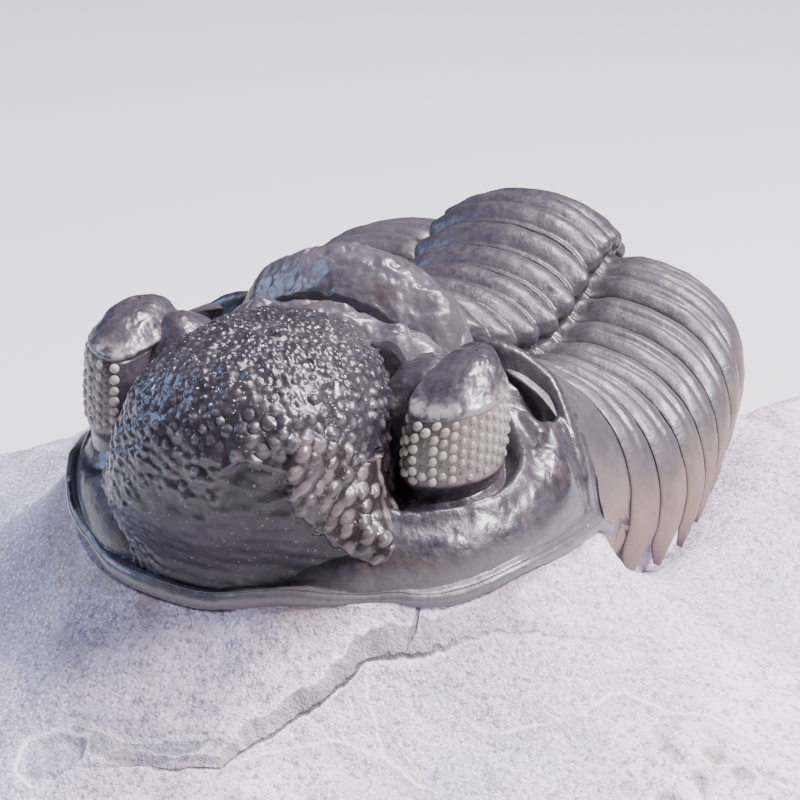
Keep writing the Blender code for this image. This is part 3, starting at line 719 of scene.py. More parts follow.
def make_ring(material, name, measures, shift):
    """A raised band across the head that falls forwards and turns down at both ends."""
    middle, half_length, half_width, crown, ends, dip, front_fall = measures
    stations, around = RING_GRID
    share, arc = lattice(np.linspace(-1.16, 1.16, stations), np.linspace(0.0, math.pi, around))
    reach = np.abs(share)
    forward = np.cos(arc)
    raised = np.sin(arc)
    top = crown - (crown - ends) * np.minimum(reach, 1.0) ** 2.3 - dip * ease(0.85, 0.45, reach)
    top -= 26.0 * np.maximum(0.0, reach - 0.93) ** 1.6
    y = middle - forward * half_length * (1.0 - 0.35 * np.minimum(reach, 1.1) ** 3)
    z = top - front_fall * np.maximum(0.0, forward) ** 1.8 - 1.1 * np.maximum(0.0, -forward) ** 2.5
    z = z - 14.0 * np.maximum(0.0, 0.2 - raised)
    points = np.stack((half_width * share, y, z), axis=1)
    knob = bell(np.abs(points[:, 0]) - half_width * 0.84, 0.8)
    pitted = np.maximum(0.0, noise_at(points, 1.1, shift + 3.0) - 0.25)
    streaks = noise_at(points * np.array((0.5, 1.8, 1.0)), 1.0, shift + 8.0)
    relief = relief_at(points, (0.16, 0.75, 3, shift), (0.03, 4.0, shift)) - 0.5 * pitted
    points[:, 2] += relief + 0.14 * streaks * raised + 0.4 * knob * (raised > 0.3)
    build(name, points, grid_faces(stations, around), material)


def make_side_lobes(material):
    """The lumpy lobes at both ends of the band between the swollen lobe and the neck ring."""
    rows, columns = SIDE_LOBE_GRID
    balls = []
    faces = []
    for side in SIDES:
        for centre, halves in SIDE_LOBES:
            centre = (side * centre[0], *centre[1:])
            faces += grid_faces(rows, columns, start=len(balls) * rows * columns, closed=True)
            relief = ((0.14, 0.9, 2, 4.0), (0.03, 4.0, 2.0))
            balls.append(lumpy_ball(rows, columns, centre, halves, *relief))
    build("side_lobes", np.concatenate(balls), faces, material)


# The eyes


def eye_profile(side):
    """From an eye's foot to its top: share of the way, height, size, backward and outward shift."""
    low, high = LENS_BANDS[side]
    table = np.array((
        (EYE_FOOT, 0.84, 0.0, 0.0),
        (low - 1.2, 0.86, 0.0, 0.0),
        (low - 0.7, 0.88, 0.0, 0.0),
        (low - 0.4, 0.93, 0.0, 0.0),
        (low - 0.15, 0.985, 0.0, 0.0),
        (low + 0.15, 1.0, 0.0, 0.0),
        (low + 0.35 * (high - low), 1.03, 0.0, 0.0),
        (low + 0.7 * (high - low), 1.02, 0.0, 0.0),
        (high - 0.1, 0.965, 0.0, 0.0),
        (high + 0.02, 0.935, 0.0, 0.0),
        (high + 0.1, 0.955, 0.0, 0.0),
        (high + 0.32, 0.93, 0.05, 0.0),
        (high + 0.55, 0.82, 0.15, 0.05),
        (high + 0.85, 0.7, 0.35, 0.1),
        (high + 1.2, 0.58, 0.6, 0.15),
        (high + 1.5, 0.42, 0.8, 0.15),
        (high + 1.68, 0.22, 0.95, 0.15),
        (high + 1.72, 0.02, 1.0, 0.15),
    ))
    run = running(np.hypot(np.diff(table[:, 0]), 2.5 * np.diff(table[:, 1])))
    return np.column_stack((run / run[-1], table))


def eye_surface(level, angle, side):
    """Points of an eye from a share of the way up its profile and an angle round it."""
    centre_x, centre_y, lower = EYES[side]
    profile = eye_profile(side)
    height, size, backward, outward = (through(profile, column, level) for column in (1, 2, 3, 4))
    z = height + lower
    high = LENS_BANDS[side][1]
    lid = ease(high, high + 0.7, z - lower)
    bulge = np.where(np.cos(angle) > 0.0, EYE_OUTER_BULGE, EYE_INNER_BULGE * (1.0 + 0.4 * lid))
    y = EYE_HALF_LENGTH * size * np.sin(angle) + backward
    x = centre_x - EYE_BOW * y * y + bulge * size * np.cos(angle) + outward
    z = z + EYE_TILTS[side] * (y + 0.75 * EYE_HALF_LENGTH) * ease(4.6, 6.4, z)
    return np.stack((side * x, centre_y + y, z), axis=-1)


def make_eye(material, side):
    rows, columns = EYE_GRID
    turns = np.linspace(0.0, 2.0 * math.pi, columns, endpoint=False)
    level, angle = lattice(np.linspace(0.0, 1.0, rows), turns)
    points = eye_surface(level, angle, side)
    centre = np.array((side * EYES[side][0], EYES[side][1], EYE_MIDDLE_HEIGHT))
    normal = surface_normals(points, rows, columns, centre, closed=True)
    low, high = LENS_BANDS[side]
    profile = eye_profile(side)
    height = np.interp(level, profile[:, 0], profile[:, 1])
    above = ease(high - 0.1, high + 0.4, height)
    lid_edge = ease(high - 0.02, high + 0.12, height) * ease(high + 0.8, high + 0.4, height)
    fine = relief_at(points, (0.05, 1.3, 2, side * 3.0), (0.02, 5.0, 1.0)) * above
    fine += 0.05 * lid_edge * noise_at(points * np.array((1.0, 1.0, 0.4)), 3.2, 8.0)
    start, end = (value * math.pi for value in LENS_TURNS[side])
    wound = np.where(angle > math.pi, angle - 2.0 * math.pi, angle)
    band = ease(low - 0.15, low + 0.05, height) * ease(high + 0.05, high - 0.05, height)
    faced = ease(start - 0.12, start, wound) * ease(end + 0.12, end, wound)
    beige = ease(start + 0.35 * (end - start), start + 0.55 * (end - start), wound)
    marks = {"lens_wall": band * faced, "beige": beige, "lid_edge": lid_edge}
    faces = grid_faces(rows, columns, closed=True, flip=side < 0)
    build("eye_" + SIDES[side], points + normal * fine[:, None], faces, material, **marks)


def dome(rings, sectors):
    """A dome's points, as shares of its radius sideways, upward and outward, and its faces."""
    tilts = np.arange(1, rings + 1) / rings * math.radians(100.0)
    points = directions(tilts, 2.0 * math.pi * np.arange(sectors) / sectors)
    faces = [(0, 1 + number, 1 + (number + 1) % sectors) for number in range(sectors)]
    for face in grid_faces(rings, sectors, start=1, closed=True):
        faces.append((face[0], *face[:0:-1]))
    return np.vstack(((0.0, 0.0, 1.0), points)), faces


def make_lenses(material, side):
    """The lenses: vertical files of separate domes, staggered by half a lens."""
    random = np.random.default_rng(SEED + (1 if side > 0 else 2))
    offsets, dome_faces = dome(*DOME_GRID)
    low, high = LENS_BANDS[side]
    profile = eye_profile(side)
    points = []
    faces = []
    tones = []
    turns = np.linspace(*(value * math.pi for value in LENS_TURNS[side]), 1200)
    wall = eye_surface(np.full(len(turns), 0.45), turns, side)
    run = running(np.linalg.norm(np.diff(wall[:, :2], axis=0), axis=1))
    files = int(run[-1] / LENS_FILE_PITCH)
    step = 0.004
    for number in range(files + 1):
        turn = float(np.interp(number * LENS_FILE_PITCH, run, turns))
        front = ease(0.42, 0.3, number / files)
        thin = ease(0.75, 1.0, number / files)
        z = low + 0.25 + 0.9 * thin + number % 2 * LENS_ROW_PITCH / 2.0
        while z < high - 0.12 - 0.5 * thin:
            wanted = z + 0.03 * random.standard_normal()
            tone = 0.55 + 0.45 * random.random()
            radius = LENS_RADIUS * (0.92 + 0.14 * random.random()) + 0.035 * front
            lost = random.random() < 0.5 * front and number % 2 == 1
            z += LENS_ROW_PITCH
            if lost:
                radius *= 0.75
                tone = 0.1
            elif front < 0.5:
                tone *= 0.7
            level = float(np.interp(wanted, profile[:, 1], profile[:, 0]))
            levels = np.array((level, level + step, level))
            here, up, along = eye_surface(levels, np.array((turn, turn, turn + step)), side)
            upward = (up - here) / np.linalg.norm(up - here)
            across = (along - here) / np.linalg.norm(along - here)
            outward = np.cross(across, upward) * side
            outward /= np.linalg.norm(outward)
            sideways = radius * (offsets[:, :1] * across + offsets[:, 1:2] * upward)
            rise = radius * (0.4 if lost else 0.72)
            faces += [tuple(len(tones) + corner for corner in face) for face in dome_faces]
            points.append(here + sideways + (rise * offsets[:, 2:] - LENS_SINK) * outward)
            tones += [tone] * len(offsets)
    build("lenses_" + SIDES[side], np.concatenate(points), faces, material, tone=tones)


def make_saddle(material, side):
    """The raised inner patch of an eye's lid, which joins it to the swollen lobe."""
    rows, columns = SADDLE_GRID
    centre_x, centre_y, lower = EYES[side]
    centre = (side * (centre_x - 2.4), centre_y + 1.3, 6.5 + lower)
    relief = ((0.1, 0.8, 3, 5.0), (0.02, 4.5, 2.0))
    points = lumpy_ball(rows, columns, centre, SADDLE_HALVES, *relief)
    faces = grid_faces(rows, columns, closed=True, flip=side < 0)
    build("eye_saddle_" + SIDES[side], points, faces, material)


# The body


def plate_relief(place, share):
    """The relief of a plate in millimetres, from its front edge, share 0, to its rear edge, share 1."""
    flank = np.abs(place) - 1.0
    ring = 0.55 * np.sin(math.pi * np.clip((share - 0.2) / 0.8, 0.0, 1.0)) ** 0.8 - 0.4
    ring += 0.2 * bell(share - 0.07, 0.09)
    ring += 0.28 * bell(np.abs(place) - 0.82, 0.1) * bell(share - 0.6, 0.26)
    furrow = bell(share - 0.4 - 0.12 * flank, 0.1) * ease(0.02, 0.15, flank) * ease(0.8, 0.45, flank)
    rib = 0.5 * np.sin(math.pi * share) ** 0.8 - 0.32 - 0.22 * furrow
    rib *= 1.0 - 0.68 * ease(0.25, 0.85, flank)
    on_flank = ease(-0.04, 0.06, flank)
    return ring * (1.0 - on_flank) + rib * on_flank - 0.38 * bell(flank, 0.05)


def make_plate(material, number):
    start = number * PLATE_PITCH
    stations, along = PLATE_GRID
    place_line = np.linspace(-2.0, 2.0, stations)
    share_line = np.linspace(0.0, 1.0, along)
    place, share = lattice(place_line, share_line)
    narrow = np.clip((np.abs(place) - 1.89) / 0.11, 0.0, 1.0)
    lengthwise = 0.62 + (share - 0.62) * (1.0 - 0.9 * narrow**1.3)
    distance = start - 0.05 + lengthwise * (PLATE_PITCH + 0.02)
    if number == 0:
        under_head = ease(1.0, 1.25, np.abs(place)) * 2.2 + 0.5
        distance = distance - under_head * (1.0 - lengthwise) * (1.0 - narrow)
    tip = ease(1.8, 2.0, np.abs(place))
    lift = plate_relief(place, share) - 0.2 * tip * np.abs(share - 0.5) * 2.0
    points = body_point(distance, place, lift)
    fine = relief_at(points, (0.06, 0.7, 3, 2.0), (0.015, 4.2, 1.0))
    centre = np.array((through(SPINE, 1, start), start, through(SPINE, 2, start) - 4.0))
    normal = surface_normals(points, stations, along, centre)
    shell = (points + normal * fine[:, None]).reshape(stations, along, 3)
    tuck = -1.0 + 0.7 * ease(1.15, 1.6, np.abs(place_line))
    tips = ease(1.3, 1.9, np.abs(place_line))[:, None]
    edges = []
    for edge_distance, index in ((start + 0.1, 0), (start + PLATE_PITCH - 0.1, -1)):
        edge = body_point(np.full(stations, edge_distance), place_line, tuck)
        at_tip = 0.6 * shell[:, index] + 0.4 * shell.mean(axis=1)
        edges.append((edge * (1.0 - tips) + at_tip * tips)[:, None])
    tucked = np.concatenate((edges[0], shell, edges[1]), axis=1)
    width = along + 2
    marks = {
        "share": np.tile(np.concatenate(([0.0], share_line, [1.0])), stations),
        "flank": np.maximum(np.abs(np.repeat(place_line, width)) - 1.0, 0.0),
    }
    label = f"{number + 1:02d}"
    faces = grid_faces(stations, width)
    replaced = "thorax_segment_" + label
    build("body_plate_" + label, tucked.reshape(-1, 3), faces, material, replaced, **marks)


def make_tail(material):
    rows, stations = TAIL_GRID
    start = PLATE_COUNT * PLATE_PITCH
    turn, place = lattice(np.linspace(0.0, math.pi / 2.0, rows), np.linspace(-2.0, 2.0, stations))
    along = np.sin(turn)
    size = np.maximum(0.05, np.cos(turn))
    flank = np.abs(place) - 1.0
    rings = 0.22 * np.cos(2.0 * math.pi * along * 7.0) * (1.0 - along) * (flank < 0.0)
    ribs = 0.16 * np.cos(2.0 * math.pi * (along * 5.0 + 0.8 * np.maximum(flank, 0.0)))
    ribs *= (1.0 - along) * ease(0.0, 0.12, flank) * ease(0.95, 0.6, flank)
    lift = rings + ribs - 0.35 * bell(flank, 0.05) * size
    width = body_width(np.array(start)) * size**0.8
    drop = body_drop(np.array(start)) * size**0.6
    points = body_point(start + TAIL_LENGTH * along, place, lift, width, drop)
    points += 0.04 * noise_at(points, 1.2, 3.0)[:, None]
    marks = {"flank": np.maximum(flank, 0.0), "share": np.full(len(flank), 0.5)}
    faces = grid_faces(rows, stations, flip=True)
    made = build("tail_shield", points, faces, material, "pygidium", **marks)
    thick = made.modifiers.new("thickness", "SOLIDIFY")
    thick.thickness = TAIL_THICKNESS * MM
    thick.offset = 1.0


# The stone


def footprint_reach(direction_x, direction_y):
    """How far the animal's outline lies from the stone's middle in each direction, by halving."""
    low = np.zeros_like(direction_x)
    high = np.full_like(direction_x, 50.0)
    for _ in range(16):
        middle = (low + high) / 2.0
        x = direction_x * middle
        y = STONE_MIDDLE_Y + direction_y * middle
        past = np.clip((y - TAIL_START_Y) / (TAIL_END_Y - TAIL_START_Y), 0.0, 1.0)
        beside = np.abs(x - through(SPINE, 1, np.clip(y, 0.0, 36.0)))
        in_body = (beside < FOOTPRINT_HALF_WIDTH * np.sqrt(1.0 - past * past)) & (y <= TAIL_END_Y)
        inside = np.where(y < HEAD_REAR_Y, head_reach(x, y) < 1.0, in_body)
        low = np.where(inside, middle, low)
        high = np.where(inside, high, middle)
    return low


def stone_reach(direction_x, direction_y):
    """How far the stone's uneven edge lies from its middle. It touches its box on all four sides."""
    half_x = np.where(direction_x > 0.0, STONE_X[1], -STONE_X[0])
    half_y = np.where(direction_y > 0.0, STONE_Y[1] - STONE_MIDDLE_Y, STONE_MIDDLE_Y - STONE_Y[0])
    norm = (np.abs(direction_x) / half_x) ** STONE_BLUNTNESS
    norm += (np.abs(direction_y) / half_y) ** STONE_BLUNTNESS
    places = np.stack((2.3 * direction_x, 2.3 * direction_y, np.full_like(direction_x, 4.0)), axis=1)
    wobble = 0.5 + 0.5 * noise_at(places, 1.0)
    keep = np.maximum(np.abs(direction_x), np.abs(direction_y)) ** 8
    return norm ** (-1.0 / STONE_BLUNTNESS) * (1.0 - 0.16 * wobble * (1.0 - keep))


def stone_surface(x, y, share):
    """Height of the stone's top and its marks: signed distances to its cracks, and masks."""
    flat = np.stack((x, y, np.zeros_like(x)), axis=1)
    lump = 1.3 * noise_at(flat * 0.11 + np.array((0.0, 0.0, 1.0)), 1.0)
    lump += 0.5 * noise_at(flat * 0.35 + np.array((0.0, 0.0, 5.0)), 1.0)
    height = mound_height(x, y) + lump * ease(0.1, 0.35, share)
    wander = 0.3 * noise_at(flat, 0.6, 31.0) + 0.2 * noise_at(flat, 2.2, 5.0)
    gap, side, along = to_line(x + wander, y + wander * 0.6, CRACK_LINE)
    ledge_strength = np.sin(math.pi * np.clip(along, 0.02, 0.98)) ** 0.4
    ledge_strength *= 0.3 + 0.7 * ease(0.78, 0.6, along)
    width = 0.55 + 0.45 * np.maximum(0.0, noise_at(flat, 0.5, 41.0)) + 0.35 * noise_at(flat, 1.3, 13.0)
    ledge = np.clip(gap * side / np.clip(width, 0.3, 1.3), -4.0, 4.0)
    height += 0.5 * ease(0.0, -1.0, ledge) * ease(9.0, 2.0, gap) * ledge_strength
    height -= 0.1 * bell(gap, 0.15) * ledge_strength
    vein = np.full_like(x, 3.0)
    vein_strength = np.zeros_like(x)
    notched = np.zeros_like(x)
    for number, (width, depth, line) in enumerate(CRACKS):
        gap, side, along = to_line(x + 0.5 * wander, y + 0.4 * wander, line)
        strength = np.sin(math.pi * np.clip(along, 0.04, 0.96)) ** 0.3
        height -= depth * bell(gap, width) * strength
        nearer = gap < np.abs(vein)
        vein = np.where(nearer, gap * np.where(side == 0.0, 1.0, side), vein)
        vein_strength = np.where(nearer, strength, vein_strength)
        notched = np.where(nearer, float(number == 0), notched)
    chip = np.clip(outline_depth(x + 0.4 * wander, y, CHIP), -3.0, 3.0)
    height -= ease(0.0, 0.2, chip) * (0.35 + 0.15 * noise_at(flat, 1.6, 3.0))
    shaded = ease(0.0, 0.25, outline_depth(x, y, SHADED_STRIP))
    rough_corner = ease(19.0, 25.0, x) * ease(-8.5, -11.0, y)
    pits = np.maximum(0.0, noise_at(flat, 0.8, 17.0) - 0.05)
    height -= 0.2 * shaded + 1.2 * rough_corner * pits
    pitted = rough_corner * ease(0.0, 0.3, pits)
    marks = (ledge, ledge_strength, vein, vein_strength, notched, chip, shaded, pitted)
    return height, dict(zip(STONE_MARKS, marks))


def stone_sides(direction_x, direction_y, far, brink):
    """The broken sides, layered and chipped, from the brink of the top down to the underside."""
    level = np.repeat(np.linspace(0.04, 1.0, STONE_SIDE_ROWS), len(far))
    rows = (direction_x, direction_y, far, brink)
    across, along, far, brink = (np.tile(row, STONE_SIDE_ROWS) for row in rows)
    far = far * np.interp(level, (0.0, 0.3, 0.75, 1.0), (0.93, 0.985, 1.0, 0.95))
    drop = brink + (STONE_FLOOR - brink) * level
    sides = np.stack((across * far, STONE_MIDDLE_Y + along * far, drop), axis=1)
    ledges = np.abs(noise_at(sides * np.array((0.35, 0.35, 1.6)), 0.13, 2.0))
    layers = noise_at(sides * np.array((0.3, 0.3, 2.4)), 0.5, 6.0)
    chipped = np.abs(noise_at(sides, 0.3, 14.0)) + 0.5 * np.abs(noise_at(sides, 0.7, 3.0))
    rough = 0.8 * fractal_at(sides, 0.16, 5, 12.0) - 0.9 * ease(0.1, 0.0, ledges)
    rough += 0.45 * layers + 0.9 * (chipped - 0.3)
    rough *= ease(0.0, 0.12, level) * ease(1.0, 0.9, level)
    sides[:, 0] += across * rough
    sides[:, 1] += along * rough
    return sides


def make_stone(material):
    """The stone as rings from under the animal out to its edge, then down its sides."""
    rings_top, sectors = STONE_GRID
    turns = np.linspace(-math.pi, math.pi, 4000)
    turns = crowded(turns, 1.0 + 2.6 * bell(turns + 1.15, 0.85), sectors)
    direction_x = np.cos(turns)
    direction_y = np.sin(turns)
    near = footprint_reach(direction_x, direction_y)
    far = stone_reach(direction_x, direction_y)
    shares = np.concatenate((INNER_SHARES, 0.93 * np.linspace(0.0, 1.0, rings_top) ** 1.2))
    share = np.repeat(shares, sectors)
    count = len(shares)
    reach = np.maximum(0.5, np.tile(near, count) + np.tile(far - near, count) * share)
    x = np.tile(direction_x, count) * reach
    y = STONE_MIDDLE_Y + np.tile(direction_y, count) * reach
    height, marks = stone_surface(x, y, np.maximum(share, 0.0))
    top = np.stack((x, y, height + 4.0 * np.minimum(share, 0.0)), axis=1)
    broken = np.abs(noise_at(top * np.array((1.0, 1.0, 0.3)), 0.42, 6.0))
    fine = relief_at(top, (0.12, 0.5, 4, 3.0), (0.05, 3.7, 8.0))
    fine += 0.16 * ease(0.06, 0.0, broken) * noise_at(top, 0.3, 9.0)
    top[:, 2] += fine * ease(0.0, 0.03, share)
    sides = stone_sides(direction_x, direction_y, far, top[-sectors:, 2])
    faces = grid_faces(count + STONE_SIDE_ROWS, sectors, closed=True, flip=True)
    base_start = (count + STONE_SIDE_ROWS - 1) * sectors
    faces.append(tuple(range(base_start, base_start + sectors)))
    empty = np.zeros(len(sides))
    marks = {name: np.concatenate((values, empty)) for name, values in marks.items()}
    marks["near"] = np.concatenate((share, empty + 1.0))
    points = np.concatenate((top, sides))
    build("stone", points, faces, material, "matrix", slot="pale_limestone", **marks)


def make_core(material):
    """The rock under the plates, seen only in the gaps between them."""
    stations, across = CORE_GRID
    end = PLATE_COUNT * PLATE_PITCH + 0.66 * TAIL_LENGTH
    distance, place = lattice(np.linspace(0.3, end, stations), np.linspace(-1.8, 1.8, across))
    reach = distance + FLANK_SWEEP[1]
    size = np.sqrt(np.maximum(0.02, 1.0 - tail_share(reach) ** 2))
    width = body_width(reach) * size**0.8 - 0.02
    drop = body_drop(reach) * size**0.6
    points = body_point(distance, place, np.full(len(place), -1.0), width, drop)
    points[:, 1] = np.maximum(points[:, 1], HEAD_REAR_Y - 0.4)
    grid = points.reshape(stations, across, 3)
    feet = grid[:, [0, -1]].copy()
    feet[:, :, 2] = CORE_FLOOR
    grid = np.concatenate((feet[:, :1], grid, feet[:, 1:]), axis=1)
    width = across + 2
    faces = grid_faces(stations, width)
    faces.append(tuple(range(width)))
    faces.append(tuple(range((stations - 1) * width, stations * width))[::-1])
    marks = {name: np.zeros(stations * width) for name in (*STONE_MARKS, "near")}
    build("rock_core", grid.reshape(-1, 3), faces, material, slot="pale_limestone", **marks)


# Materials


class Nodes:
    """Short calls for building a node material. A value is a number, a colour or a socket."""

    def __init__(self, name):
        self.material = bpy.data.materials.new(name)
        self.material.use_nodes = True
        self.tree = self.material.node_tree
        self.shader = self.tree.nodes["Principled BSDF"]
        self.place = self.make("TexCoord").outputs["Object"]

    def put(self, socket, value):
        if isinstance(value, bpy.types.NodeSocket):
            self.tree.links.new(value, socket)
        elif isinstance(value, tuple):
            socket.default_value = (*value, 1.0)
        else:
            socket.default_value = value

    def make(self, kind, **values):
        """A node with values for its inputs, whose names have _ where the node's have a space."""
        node = self.tree.nodes.new("ShaderNode" + kind)
        for name, value in values.items():
            self.put(node.inputs[name.replace("_", " ")], value)
        return node

    def set(self, name, value):
        self.put(self.shader.inputs[name], value)

    def attribute(self, name):
        node = self.make("Attribute")
        node.attribute_name = name
        return node.outputs["Fac"]

    def noise(self, scale, detail=4.0, roughness=0.55):
        values = {"Scale": scale, "Detail": detail, "Roughness": roughness}
        return self.make("TexNoise", Vector=self.place, **values).outputs["Fac"]

    def ramp(self, source, low, high, start=0.0, end=1.0):
        values = {"From_Min": low, "From_Max": high, "To_Min": start, "To_Max": end}
        node = self.make("MapRange", Value=source, **values)
        node.interpolation_type = "SMOOTHSTEP"
        return node.outputs["Result"]

    def math(self, operation, first, second):
        node = self.make("Math")
        node.operation = operation
        self.put(node.inputs[0], first)
        self.put(node.inputs[1], second)
        return node.outputs["Value"]

    def times(self, first, second):
        return self.math("MULTIPLY", first, second)

    def plus(self, first, second):
        return self.math("ADD", first, second)

    def larger(self, first, second):
        return self.math("MAXIMUM", first, second)

    def mix(self, share, first, second):
        node = self.make("Mix")
        node.data_type = "RGBA"
        self.put(node.inputs["Factor"], share)
        inputs = [socket for socket in node.inputs if socket.type == "RGBA"]
        self.put(inputs[0], first)
        self.put(inputs[1], second)
        return [socket for socket in node.outputs if socket.type == "RGBA"][0]

    def finish(self, colour, height, strength, distance):
        """Sets the colour and a bump from a height, and gives the material."""
        bump = self.make("Bump", Strength=strength, Distance=distance, Height=height)
        self.set("Base Color", colour)
        self.set("Normal", bump.outputs["Normal"])
        return self.material


def shell_base(name, coat, smoothest=0.24, roughest=0.42):
    """The dark waxed shell: brown-grey, mottled, with a fine grain."""
    nodes = Nodes(name)
    broad = nodes.noise(260.0, 5.0, 0.6)
    fine = nodes.noise(2400.0, 3.0, 0.6)
    colour = nodes.mix(nodes.ramp(broad, 0.35, 0.65), (0.022, 0.019, 0.03), (0.052, 0.042, 0.055))
    colour = nodes.mix(nodes.ramp(fine, 0.35, 0.75, 0.0, 0.5), colour, (0.1, 0.085, 0.1))
    grain = nodes.plus(nodes.times(fine, 0.6), nodes.noise(700.0, 5.0, 0.6))
    rough = nodes.ramp(nodes.noise(900.0), 0.3, 0.7, smoothest, roughest)
    nodes.set("Roughness", rough)
    nodes.set("Coat Weight", coat)
    nodes.set("Coat Roughness", 0.12)
    nodes.set("Specular IOR Level", 0.6)
    return nodes, colour, grain, rough


def lobe_material():
    nodes, colour, grain, rough = shell_base("glabella_shell", 0.15)
    relief = nodes.attribute("relief")
    worn_with_painted_shade = nodes.attribute("worn_with_painted_shade")
    # Painted shade: the low gaps between the pebbles are darkened.
    colour = nodes.mix(nodes.ramp(relief, 0.0, 0.3, 0.6, 0.0), colour, (0.016, 0.013, 0.018))
    # Painted highlight: the tops of the taller pebbles are lightened.
    colour = nodes.mix(nodes.ramp(relief, 0.5, 1.0, 0.0, 0.55), colour, (0.15, 0.135, 0.155))
    brown = nodes.mix(nodes.attribute("tone"), (0.055, 0.04, 0.042), (0.15, 0.12, 0.125))
    # The scales keep their own brown tones; painted shade darkens the low gaps between them.
    pits = nodes.mix(nodes.ramp(relief, 0.0, 0.5), (0.022, 0.015, 0.015), brown)
    colour = nodes.mix(nodes.times(nodes.attribute("patch"), 0.9), colour, pits)
    # Painted shade: the smooth lower front of the lobe is darkened.
    colour = nodes.mix(nodes.times(worn_with_painted_shade, 0.55), colour, (0.014, 0.013, 0.019))
    # Fine pale specks, more of them on the crown.
    pale_specks = nodes.ramp(nodes.noise(4800.0, 2.0), 0.66, 0.72)
    pale_specks = nodes.times(pale_specks, nodes.plus(nodes.attribute("crown"), 0.2))
    colour = nodes.mix(pale_specks, colour, (0.8, 0.8, 0.86))
    nodes.set("Roughness", nodes.plus(rough, nodes.times(worn_with_painted_shade, 0.2)))
    return nodes.finish(colour, grain, 0.45, 0.00014)


def ring_material():
    nodes, colour, grain, _ = shell_base("ring_shell", 0.2)
    # The paler mottle lightens the rings as a whole: partly their own uneven tone, partly painted
    # highlight.
    mottle = nodes.noise(420.0, 5.0, 0.65)
    colour = nodes.mix(nodes.ramp(mottle, 0.3, 0.7, 0.35, 0.75), colour, (0.13, 0.112, 0.135))
    brown = nodes.ramp(nodes.noise(300.0, 4.0, 0.6), 0.55, 0.7, 0.0, 0.5)
    colour = nodes.mix(brown, colour, (0.09, 0.055, 0.04))
    return nodes.finish(colour, grain, 0.4, 0.00014)


def cheek_material():
    nodes, colour, grain, _ = shell_base("cheek_shell", 0.25)
    inward = nodes.attribute("inward")
    stain = nodes.ramp(nodes.noise(420.0, 5.0, 0.65), 0.5, 0.62)
    furrow = nodes.times(nodes.ramp(inward, 2.6, 1.1), stain)
    colour = nodes.mix(nodes.times(furrow, 0.4), colour, (0.09, 0.06, 0.045))
    rim = nodes.ramp(inward, 0.75, 0.3)
    colour = nodes.mix(nodes.times(rim, 0.45), colour, (0.2, 0.19, 0.2))
    return nodes.finish(colour, grain, 0.4, 0.00015)


def eye_material():
    nodes, colour, grain, _ = shell_base("eye_shell", 0.18)
    speckle = nodes.noise(1500.0, 4.0, 0.6)
    wall = nodes.mix(nodes.attribute("beige"), (0.05, 0.038, 0.036), (0.25, 0.2, 0.18))
    wall = nodes.mix(nodes.ramp(speckle, 0.35, 0.65, 0.0, 0.5), wall, (0.12, 0.085, 0.075))
    colour = nodes.mix(nodes.attribute("lens_wall"), colour, wall)
    pale = nodes.times(nodes.attribute("lid_edge"), nodes.ramp(speckle, 0.35, 0.6))
    colour = nodes.mix(nodes.times(pale, 0.7), colour, (0.33, 0.3, 0.3))
    return nodes.finish(colour, grain, 0.35, 0.00012)


def lens_material():
    nodes = Nodes("eye_lenses")
    speckle = nodes.noise(1800.0, 3.0)
    patchy = nodes.noise(500.0, 2.0)
    colour = nodes.mix(speckle, (0.36, 0.31, 0.27), (0.52, 0.47, 0.42))
    colour = nodes.mix(nodes.ramp(patchy, 0.45, 0.7, 0.0, 0.4), colour, (0.25, 0.2, 0.18))
    colour = nodes.mix(nodes.attribute("tone"), (0.06, 0.045, 0.04), colour)
    nodes.set("Roughness", nodes.ramp(speckle, 0.3, 0.7, 0.35, 0.55))
    nodes.set("Coat Weight", 0.3)
    nodes.set("Coat Roughness", 0.25)
    return nodes.finish(colour, speckle, 0.2, 0.0001)


def body_material():
    nodes, colour, grain, rough = shell_base("body_shell", 0.12, 0.36, 0.52)
    flank = nodes.attribute("flank")
    share = nodes.attribute("share")
    blotch = nodes.noise(330.0, 5.0, 0.6)
    colour = nodes.mix(nodes.ramp(flank, 0.0, 0.2, 0.15, 0.6), colour, (0.095, 0.078, 0.092))
    low = nodes.ramp(nodes.plus(flank, nodes.times(blotch, 0.35)), 0.72, 1.05)
    colour = nodes.mix(low, colour, nodes.mix(blotch, (0.15, 0.09, 0.06), (0.28, 0.2, 0.16)))
    seam = nodes.plus(nodes.ramp(share, 0.12, 0.0), nodes.ramp(share, 0.9, 1.0))
    colour = nodes.mix(nodes.times(seam, 0.6), colour, (0.03, 0.024, 0.024))
    nodes.set("Roughness", nodes.plus(rough, nodes.times(low, 0.15)))
    return nodes.finish(colour, grain, 0.45, 0.00016)


